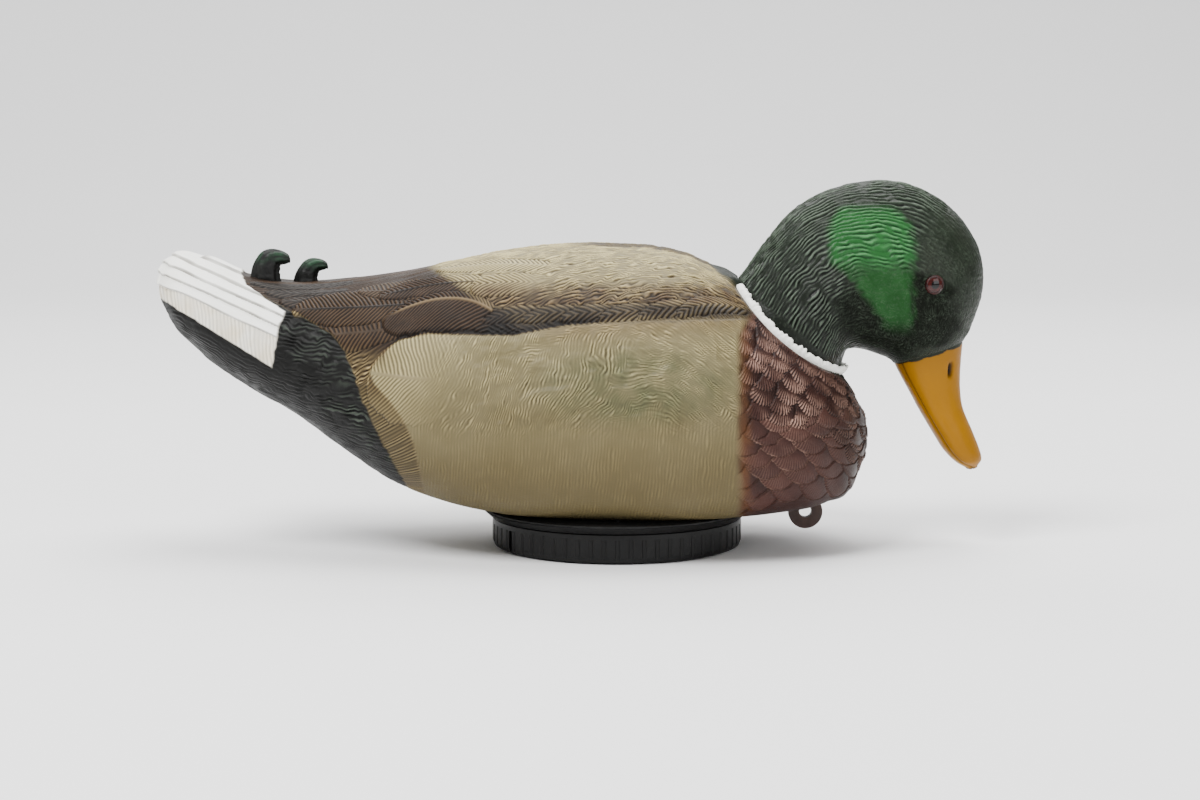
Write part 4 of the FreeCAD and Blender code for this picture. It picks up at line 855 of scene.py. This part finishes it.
def head_piece():
    count, around = int(480 * FINE), int(540 * FINE)
    t = np.linspace(0, len(HEAD) - 1, count)
    points, place, theta = fan_grid(HEAD, t, around)[:3]
    normal = outward_normals(points)
    x, z = points[..., 0], points[..., 2]
    sx, sz = seen(points)
    crown = spline(t, np.arange(len(HEAD)), HEAD[:, :2])
    walk = np.concatenate([[0], np.cumsum(np.linalg.norm(np.diff(crown, axis=0), axis=1))])
    # the ridges flow from the face over the crown and down the neck, at even spacing round each section
    lap = np.linalg.norm(points - np.roll(points, 1, axis=1), axis=2)
    quarter = around // 4
    lap = np.roll(lap, quarter, axis=1)
    lap = np.cumsum(lap, axis=1)
    lap = np.roll(lap / lap[:, -1:], -quarter, axis=1)
    climb = 1 - np.abs(2 * lap - 1)
    along = walk[:, None] * (0.35 + 0.65 * climb)
    ridge = waves(along, 104 * climb + 2.0 * noise(along / 16, climb * 7, 64), 2.0, 5.0, 0.42, 61)
    top = smooth(place, 0.9, 0.98)
    ripple = noise(x / 6, z / 6, 68)
    face = smooth(sx + 2.5 * ripple - 0.2 * (sz - 130) - 6 * smooth(sz, 150, 165), 140, 149)
    cheek = smooth(1 - ((sx - 137) / 36) ** 2 - ((sz - 112) / 25) ** 2 + 0.2 * ripple, 0.0, 0.5)
    gain = (1 - 0.9 * face) * (1 - 0.9 * cheek)
    gain = gain * smooth(walk[:, None], 0, 2) * (0.5 + 0.5 * smooth(place, 0.05, 0.3))
    hair = waves(along, 104 * climb + 3 * ripple, 1.5, 2.2, 1.2, 71)
    pits = noise(x / 1.3, z / 1.3, 72)
    plain_skin = np.maximum(face, cheek)
    height = 0.62 * ridge * gain + (0.1 * hair + 0.1 * pits) * plain_skin * (1 - 0.5 * cheek) - 0.1
    # the eye's hollow and the soft brow round it
    eye = np.hypot(x - EYE[0], z - EYE[2])
    near_side = np.abs(points[..., 1]) > 12
    height = height - 0.6 * np.exp(-(((eye - 6.2) / 1.6) ** 2)) * near_side
    height = height - 2.6 * np.clip((4.4 - eye) / 1.2, 0, 1) * near_side
    fade = np.exp(-(((walk - walk[-1]) / 2.0) ** 2))[:, None]
    height = height * (1 - 0.8 * fade)
    moved = points + normal * height[..., None]
    # spigot into the hull, then the closed end over the bill
    drops = (14.2, 14.2, 10.0, 6.0, 3.0, 1.2)
    scale = (0.02, 1.0, 1.0, 1.0, 1.0, 1.0)
    turn = theta[0][:, None]
    rim = NECK - 32.8 * (np.sin(turn) * NECK_FORWARD + np.cos(turn) * LEFT)
    spigot = [NECK + (rim - NECK) * k - NECK_AXIS * d for d, k in zip(drops, scale)]
    end = moved[-1]
    cap = [end.mean(0) + (end - end.mean(0)) * k for k in (0.96, 0.5, 0.02)]
    grid = np.concatenate([np.stack(spigot), moved, np.stack(cap)])

    def padded(mask, value=0.0):
        mask = np.broadcast_to(mask, moved.shape[:2])
        return np.pad(mask.astype(float), ((len(spigot), len(cap)), (0, 0)), constant_values=value)

    # the bright green patch, between two edges that change with height
    left_x = [131, 129.6, 124, 118, 104.8, 103, 104, 107, 112]
    left = np.interp(sz, [104, 108.2, 116, 125, 137.3, 146, 156, 162, 168], left_x)
    right = np.interp(sz, [100, 148, 156, 162, 168], [143, 143.5, 141.5, 137, 131])
    edge = np.minimum(sx - left, right - sx) + 1.6 * noise(along / 3, 50 * climb, 66)
    green = smooth(edge, -3.5, 3.0) * smooth(sz, 100, 112) * smooth(place, 0.1, 0.2) * (1 - top)
    green = green * smooth(sz, 167.5, 161)
    low = smooth(sz + 2 * ripple, 141, 133)
    masks = {
        "green": padded(green),
        "low": padded(low),
        # The crest mask is a painted highlight on the ridges and the groove mask painted shade in the
        # grooves; the spigot and the end cap take half of that shade.
        "crest": padded(smooth(ridge, 0.2, 1.0) * gain),
        "groove": padded(smooth(-ridge, -0.2, 0.9) * gain, 0.5),
        "face": padded(face),
        "cheek": padded(cheek),
        "crown": padded(smooth(sz, 118, 165)),
        "socket": padded((eye < 4.6) * near_side),
        "fleck": padded(np.clip(hair, 0, 1) * plain_skin),
    }
    piece = tube_object("plumage_head", grid, masks)
    piece.data.materials.append(head_paint())
    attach(piece, "head")
    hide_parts("head_shell")
    return piece


def head_paint():
    m = Paint("head_green", roughness=0.36, specular=0.16)
    cloud = m.noise(60, 4)
    patch = m.noise(130, 3)
    fleck = m.noise(700, 2, 0.55, 0.72)
    dark = m.mix(m.mask("crown"), (20, 25, 18), (27, 35, 25))
    dark = m.wash("face", 0.8, dark, m.mix(cloud, (19, 27, 17), (27, 31, 22)))
    # The ridges' crests take grey-green painted highlights and the grooves painted shade, on the dark
    # feathers and on the green patch.
    dark = m.washes(dark, ("cheek", 0.9, (9, 11, 7)), ("crest", m.blend(patch, 0.45, 1.0), (88, 100, 86)),
        ("groove", 0.85, (6, 8, 6)))
    bright = m.mix(cloud, (26, 80, 34), (34, 92, 42))
    bright = m.washes(bright, ("crest", 0.75, (78, 138, 84)), ("groove", 0.85, (10, 42, 16)))
    green = m.mix(m.mask("low"), bright, m.mix(patch, (26, 62, 28), (34, 72, 36)))
    colour = m.wash("green", m.blend(patch, 0.86, 1.0), dark, green)
    colour = m.mix(m.math("MULTIPLY", fleck, 0.10), colour, (96, 106, 92))
    colour = m.wash("fleck", m.math("MULTIPLY", patch, 0.3), colour, (84, 98, 82))
    colour = m.mix(m.mask("socket"), colour, (20, 8, 6))
    m.feed(m.surface.inputs["Specular IOR Level"], m.blend(m.mask("cheek"), 0.16, 0.04))
    m.bump(m.noise(1100, 2), 0.00010, 0.7)
    return m.finish(colour, m.blend(cloud, 0.3, 0.45))


def rounded_end(loop, out, angles):
    """Loops that draw the last loop of a tube in, and on by `out`, as a rounded end."""
    centre = loop.mean(0)
    return [centre + (loop - centre) * math.cos(a) + out * math.sin(a) for a in angles]


def bill_piece():
    count, around = int(150 * FINE) + 20, int(180 * FINE)
    t = np.linspace(0, len(BILL) - 1, count)
    points, place, theta, chord = fan_grid(BILL, t, around)
    normal = outward_normals(points)
    from_inner = place * chord[:, None]
    x, lateral, z = points[..., 0], np.abs(points[..., 1]), points[..., 2]
    # the mouth's line, the nostrils and the raised nail
    line = np.exp(-(((from_inner - 2.6) / 0.5) ** 2)) * (lateral > 2)
    slit = np.exp(-(((x - 160.6 - 0.06 * (z - 86)) / 1.15) ** 4)
                  - (((z - 86.2) / 3.6) ** 4)) * (lateral > 4)
    height = -0.55 * line - 1.8 * slit
    height = height + 0.5 * smooth(t, 4.5, 6.5)[:, None] * smooth(place, 0.45, 0.1)
    height = height + 0.05 * noise(x / 4, z / 4, 81)
    nail = smooth(t, 6.35, 6.7)[:, None] * smooth(0.35 - lateral / 12, 0.0, 0.1)
    moved = points + normal * height[..., None]
    cap = rounded_end(moved[-1], 1.6 * np.array([0.35, 0, -0.94]), (0.5, 0.9, 1.25, 1.5))
    start = moved[0]
    inward = np.array([-0.235, 0, 0.972])
    root = [start.mean(0) + (start - start.mean(0)) * k + inward * d for k, d in ((0.02, 3.0), (0.9, 3.0))]
    grid = np.concatenate([np.stack(root), moved, np.stack(cap)])

    def padded(mask, first=0.0, final=0.0):
        mask = np.broadcast_to(mask, moved.shape[:2])
        return np.concatenate([np.full((2, around), first), mask, np.full((len(cap), around), final)])

    ragged = 1.0 + 0.7 * np.abs(np.sin(5.0 * theta)) + 0.3 * noise(theta * 9, 0 * theta, 83)
    from_base = (t * 10.6)[:, None]
    feathered = smooth(ragged - from_base, 0.0, 0.25)
    masks = {
        "line": padded(line),
        "slit": padded(slit),
        "fringe": padded(feathered, 1.0),
        "nail": padded(nail, 0.0, 1.0),
        # A lighter band along the flared tip's edge: a painted highlight.
        "rim": padded(smooth(t, 4.2, 6.4)[:, None] * smooth(0.3 - place, 0, 0.25)),
    }
    piece = tube_object("bill_shaped", grid, masks)
    m = Paint("bill_yellow", roughness=0.42, specular=0.12)
    cloud = m.noise(35, 3)
    colour = m.mix(cloud, (142, 95, 1), (132, 87, 1))
    # The lighter rim is a painted highlight; the mouth's line is paint.
    colour = m.washes(colour, ("rim", 0.55, (158, 116, 12)), ("line", 0.7, (74, 46, 4)))
    colour = m.mix(m.mask("slit"), colour, (8, 5, 3))
    colour = m.wash("nail", 0.7, colour, (60, 48, 26))
    colour = m.mix(m.mask("fringe"), colour, (26, 32, 22))
    m.bump(m.noise(420, 3), 0.00012, 0.5)
    piece.data.materials.append(m.finish(colour, m.blend(m.noise(240, 3), 0.33, 0.45)))
    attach(piece, "head")
    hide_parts("bill")
    return piece


def ring_piece():
    """The white neck ring, a flattened cord with ragged feather edges that lies along the body."""
    along, around = int(640 * FINE), 28
    phi = np.linspace(0, 2 * np.pi, along + 1)[:, None]
    turn = np.stack([np.cos(phi), np.sin(phi)])
    radial = turn[0][..., None] * NECK_FORWARD + turn[1][..., None] * LEFT
    front = smooth(turn[0], 0.6, 1.0)
    nape = smooth(-turn[0], 0.84, 0.94)
    raised = 0.5 - 2.6 * nape - RING_DIP * turn[1] ** 2
    path = NECK + (RING_RADIUS - 1.2 * front)[..., None] * radial + raised[..., None] * NECK_AXIS
    psi = np.linspace(0, 2 * np.pi, around, endpoint=False)[None]
    lobes = noise(3 * turn[0] + 20, 14 * turn[1] + 9 * turn[0], 91)
    teeth = noise(28 * turn[0] + np.sign(np.sin(psi)) * 3, 34 * turn[1], 92)
    out = (1.9 - 0.8 * front) * np.cos(psi) * (1 + 0.05 * teeth)
    up = (2.6 + 0.6 * lobes) * np.sin(psi) * (1 + 0.32 * teeth) * (1 - 0.3 * nape)
    points = path + out[..., None] * radial + up[..., None] * NECK_AXIS
    groove = smooth(teeth * np.cos(psi), 0.1, 0.9)
    masks = {"groove": groove, "nape": nape + 0 * psi}
    piece = tube_object("neck_ring_ragged", points, masks)
    m = Paint("ring_white", roughness=0.6, specular=0.3)
    colour = m.mix(m.noise(120, 3), (255, 255, 250), (246, 246, 238))
    colour = m.wash("groove", 0.3, colour, (196, 194, 176))
    colour = m.mix(m.mask("nape"), colour, (20, 26, 18))
    m.bump(m.noise(1200, 2), 0.00012, 0.6)
    piece.data.materials.append(m.finish(colour))
    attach(piece, "hull")
    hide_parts("neck_ring")
    return piece


def eye_piece(side, name, node):
    """A glass eye with its iris and pupil, and the painted lid round it."""
    centre = EYE * (1, side, 1)
    forward = np.array([0.22, side, 0.02])
    forward /= np.linalg.norm(forward)
    right = np.cross(np.array([0, 0, 1.0]), forward)
    right /= np.linalg.norm(right)
    up = np.cross(forward, right)
    rows, around = 40, 64
    r = np.linspace(0, 1, rows)[:, None]
    a = np.linspace(0, 2 * np.pi, around, endpoint=False)[None]
    ball, lid_start = 3.7, 0.72
    glass = 2.1 * np.sqrt(np.clip(1 - (r / 0.92) ** 2, 0, 1))
    lid_r = np.clip((r - lid_start) / (1 - lid_start), 0, 1)
    lid = 1.3 + 0.8 * np.sin(np.pi * lid_r) * (1 + 0.3 * noise(a * 3, lid_r * 2, 97)) - 2.6 * lid_r**2
    rise = np.where(r < lid_start, glass, lid)
    spread = ball * 1.35 * r * (1 + 0.035 * np.sin(2 * a + 0.6))
    points = (
        centre
        + (spread * np.cos(a))[..., None] * right
        + (spread * np.sin(a) * 1.04)[..., None] * up
        + (rise + 0 * a)[..., None] * forward
    )
    zones = {"pupil": 1 - smooth(r, 0.36, 0.42), "lid": smooth(r, 0.69, 0.74), "rim": smooth(r, 0.9, 0.98)}
    masks = {key: np.broadcast_to(zone, (rows, around)) for key, zone in zones.items()}
    piece = tube_object(name, points, masks)
    m = Paint(name + "_glass", roughness=0.12, specular=0.35)
    iris = m.mix(m.noise(700, 2), (62, 15, 11), (34, 9, 7))
    colour = m.mix(m.mask("pupil"), iris, (5, 4, 4))
    lid_colour = m.mix(m.noise(420, 2), (54, 15, 13), (22, 9, 8))
    colour = m.mix(m.mask("lid"), colour, lid_colour)
    colour = m.mix(m.mask("rim"), colour, (24, 28, 20))
    piece.data.materials.append(m.finish(colour, m.blend(m.mask("lid"), 0.08, 0.35)))
    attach(piece, "head")
    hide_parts(node)
    return piece


# Tail curls: y, then x, z, the two half widths and the lean in degrees from base to tip.
CURLS = {
    "rear": (-3.0, [
        (-169.8, 124.0, 8.6, 4.2, 0), (-169.4, 130.5, 6.8, 3.7, 3), (-168.6, 135.5, 6.2, 3.4, 12),
        (-166.4, 139.2, 5.2, 3.1, 36), (-163.0, 140.2, 4.2, 2.7, 62), (-159.8, 139.7, 3.0, 2.1, 80),
        (-157.8, 139.2, 1.8, 1.4, 88),
    ]),
    "front": (5.0, [
        (-151.2, 122.0, 7.4, 3.8, 0), (-150.8, 128.0, 5.6, 3.3, 4), (-149.8, 131.8, 4.9, 3.0, 16),
        (-147.6, 134.9, 4.1, 2.7, 40), (-144.8, 136.0, 3.3, 2.3, 64), (-142.0, 135.8, 2.4, 1.8, 80),
        (-140.4, 135.4, 1.4, 1.1, 90),
    ]),
}


def curl_piece(key):
    side, table = CURLS[key]
    table = np.array(table)
    rows, around = int(90 * FINE) + 10, 48
    t = np.linspace(0, len(table) - 1, rows)
    p = spline(t, np.arange(len(table)), table)
    a = np.linspace(0, 2 * np.pi, around, endpoint=False)[None]
    lean = np.radians(p[:, 4])[:, None]
    swell = 1 + 0.07 * np.cos(7 * a + 0.5 * t[:, None]) + 0.05 * noise(t[:, None] * 3, a * 4, 71)
    along, across = p[:, 2:3] * np.cos(a) * swell, p[:, 3:4] * np.sin(a) * swell
    points = np.stack([p[:, 0:1] + along * np.cos(lean), side + across, p[:, 1:2] - along * np.sin(lean)], -1)
    cap = rounded_end(points[-1], 1.1 * np.array([0.6, 0, -0.8]), (0.5, 1.0, 1.35, 1.55))
    grid = np.concatenate([points, np.stack(cap)])
    highest = p[:, 1].max()
    # The green on the curl's top is a painted sheen.
    zones = {"groove": smooth(-np.cos(7 * a + 0.5 * t[:, None]), 0.2, 1),
             "high": smooth(points[..., 2], highest - 5, highest + 2)}
    masks = {name: np.concatenate([zone, np.zeros((len(cap), around))]) for name, zone in zones.items()}
    piece = tube_object(f"curl_{key}", grid, masks)
    m = Paint(f"curl_{key}_paint", roughness=0.5, specular=0.25)
    colour = m.mix(m.noise(160, 3), (14, 14, 14), (22, 23, 21))
    # Green painted sheen along the top.
    colour = m.washes(colour, ("high", m.noise(220, 3, 0.42, 0.8), (38, 76, 50)),
        ("groove", 0.7, (8, 8, 8)))
    m.bump(m.noise(900, 2), 0.00012, 0.6)
    piece.data.materials.append(m.finish(colour))
    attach(piece, "hull")
    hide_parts(f"tail_curl_{key}")
    return piece


# --- carried-over parts ---


def plain(name, light, dark, roughness=0.5, metallic=0.0, scale=200, bump=0.00004, stretch=None,
          specular=0.4):
    """A moulded or metal surface with fine procedural variation."""
    m = Paint(name, roughness=roughness, specular=specular)
    m.surface.inputs["Metallic"].default_value = metallic
    colour = m.mix(m.noise(scale, 3, stretch=stretch), light, dark)
    m.bump(m.noise(scale * 7, 2, stretch=stretch), bump, 0.6)
    return m.finish(colour, m.blend(m.noise(scale * 0.6, 3), roughness * 0.85, min(1.0, roughness * 1.15)))


# CAD nodes: the material's name, its light and dark colour, roughness, metallic, scale and bump.
CAD_FINISHES = {
    "closure_disc": ("disc_black", (36, 36, 37), (26, 26, 27), 0.5),
    "flange_screws": ("screw_black", (24, 24, 25), (15, 15, 16), 0.4, 0.6, 260),
    "flange_gasket": ("gasket_rubber", (26, 26, 26), (16, 16, 16), 0.85, 0.0, 400),
    "closure_seal": ("seal_rubber", (28, 28, 28), (18, 18, 18), 0.85, 0.0, 400),
    "ballast_plate": ("ballast_zinc", (112, 112, 114), (88, 88, 90), 0.5, 0.7, 150),
    "battery_carrier": ("carrier_grey", (54, 54, 57), (42, 42, 45), 0.55),
    "battery_cover": ("cover_grey", (54, 54, 57), (42, 42, 45), 0.55),
    "switch_body": ("switch_grey", (48, 48, 50), (36, 36, 38), 0.5),
    "switch_slider": ("slider_red", (190, 30, 24), (160, 22, 18), 0.4),
    "battery_cells": ("cell_blue", (40, 52, 112), (30, 40, 92), 0.35, 0.2),
    "motor_end_bell": ("bell_ivory", (214, 212, 198), (196, 194, 180), 0.5),
    "motor_magnets": ("ferrite", (48, 46, 45), (34, 33, 32), 0.7),
    "motor_brushes": ("carbon", (40, 40, 42), (28, 28, 30), 0.65),
    "lead_positive": ("lead_red", (176, 26, 22), (150, 20, 18), 0.5),
    "lead_switch": ("lead_red_thin", (176, 26, 22), (150, 20, 18), 0.5),
    "lead_negative": ("lead_black", (28, 28, 28), (18, 18, 18), 0.5),
    "anchor_eye": ("line_eye_brown", (70, 49, 42), (52, 35, 29), 0.5, 0.0, 150, 0.0001),
}


def dress_cad():
    """Materials for the CAD nodes that no piece replaces."""
    black = plain("moulded_black", (17, 17, 17), (11, 11, 11), 0.42, 0.0, 90, 0.00006, specular=0.2)
    steel = plain("turned_steel", (176, 176, 174), (150, 150, 149), 0.32, 1.0, 300, stretch=(1, 1, 8))
    brass = plain("bright_brass", (198, 164, 98), (170, 136, 76), 0.34, 1.0, 260)
    bright = ("motor_bushes", "motor_terminals", "motor_commutator", "eccentric_weight")
    finishes = {"motor_housing": black, "screw_ring": black, **{name: brass for name in bright}}
    for name, finish in CAD_FINISHES.items():
        finishes[name] = plain(*finish)
    for name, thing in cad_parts.items():
        if thing.hide_render:
            continue
        thing.data.materials.clear()
        thing.data.materials.append(finishes.get(name, steel))


# --- stage ---


def area_light(name, place, size, power):
    """A soft light that points at the object's middle."""
    lamp = bpy.data.lights.new(name, "AREA")
    lamp.shape = "RECTANGLE"
    lamp.size, lamp.size_y = size
    lamp.energy = power
    thing = bpy.data.objects.new(name, lamp)
    bpy.context.scene.collection.objects.link(thing)
    thing.location = place
    thing.rotation_mode = "QUATERNION"
    aim = Vector((0.0, 0.0, 0.08)) - Vector(place)
    thing.rotation_quaternion = aim.to_track_quat("-Z", "Y")
    return thing


def build_stage():
    """The pale floor that sweeps up behind the object, the lights and the air."""
    bend, radius = np.linspace(0, 0.5 * np.pi, 20), 0.9
    y = np.concatenate([np.linspace(-3.0, 1.4, 30), 1.4 + radius * np.sin(bend), np.full(10, 1.4 + radius)])
    z = np.concatenate([np.zeros(30), radius - radius * np.cos(bend), np.linspace(radius, 3.0, 10)])
    x = np.linspace(-3.5, 3.5, 40)
    points = np.stack(np.broadcast_arrays(x[None], y[:, None], z[:, None]), -1) / MM
    floor = mesh_object("studio_sweep", points, grid_faces(len(y), len(x))[:, ::-1])
    floor.data.transform(Matrix.Translation((0, 0, -0.0002)))
    m = Paint("sweep_paper", roughness=0.9, specular=0.1)
    floor.data.materials.append(m.finish(m.mix(m.noise(3, 2), (0.90, 0.90, 0.90, 1), (0.88, 0.88, 0.88, 1))))
    area_light("key", (-0.75, -1.0, 1.7), (0.8, 0.8), 60)
    area_light("fill", (1.3, -1.6, 0.8), (1.2, 1.2), 14)
    area_light("top", (0.2, 0.2, 1.8), (1.2, 1.2), 40)
    area_light("back", (0.2, 1.3, 1.4), (2.6, 0.8), 26)
    world = bpy.data.worlds.new("studio_air")
    world.use_nodes = True
    air = world.node_tree.nodes["Background"]
    air.inputs["Color"].default_value = (1, 1, 1, 1)
    air.inputs["Strength"].default_value = 0.42
    bpy.context.scene.world = world


def build_camera():
    view = bpy.data.cameras.new("camera")
    view.sensor_width = SENSOR_WIDTH
    view.lens = SENSOR_WIDTH * VIEW_DISTANCE / VIEW_WIDTH
    view.clip_start, view.clip_end = 0.05, 20
    camera = bpy.data.objects.new("camera", view)
    bpy.context.scene.collection.objects.link(camera)
    back = Vector((0, -math.cos(VIEW_RISE), math.sin(VIEW_RISE)))
    camera.location = Vector(VIEW_TARGET * MM) + back * VIEW_DISTANCE * MM
    camera.rotation_mode = "QUATERNION"
    camera.rotation_quaternion = (-back).to_track_quat("-Z", "Y")
    bpy.context.scene.camera = camera


body_piece()
head_piece()
bill_piece()
ring_piece()
eye_piece(-1, "eye_right_glass", "eye_right")
eye_piece(1, "eye_left_glass", "eye_left")
curl_piece("rear")
curl_piece("front")
dress_cad()
build_stage()
build_camera()
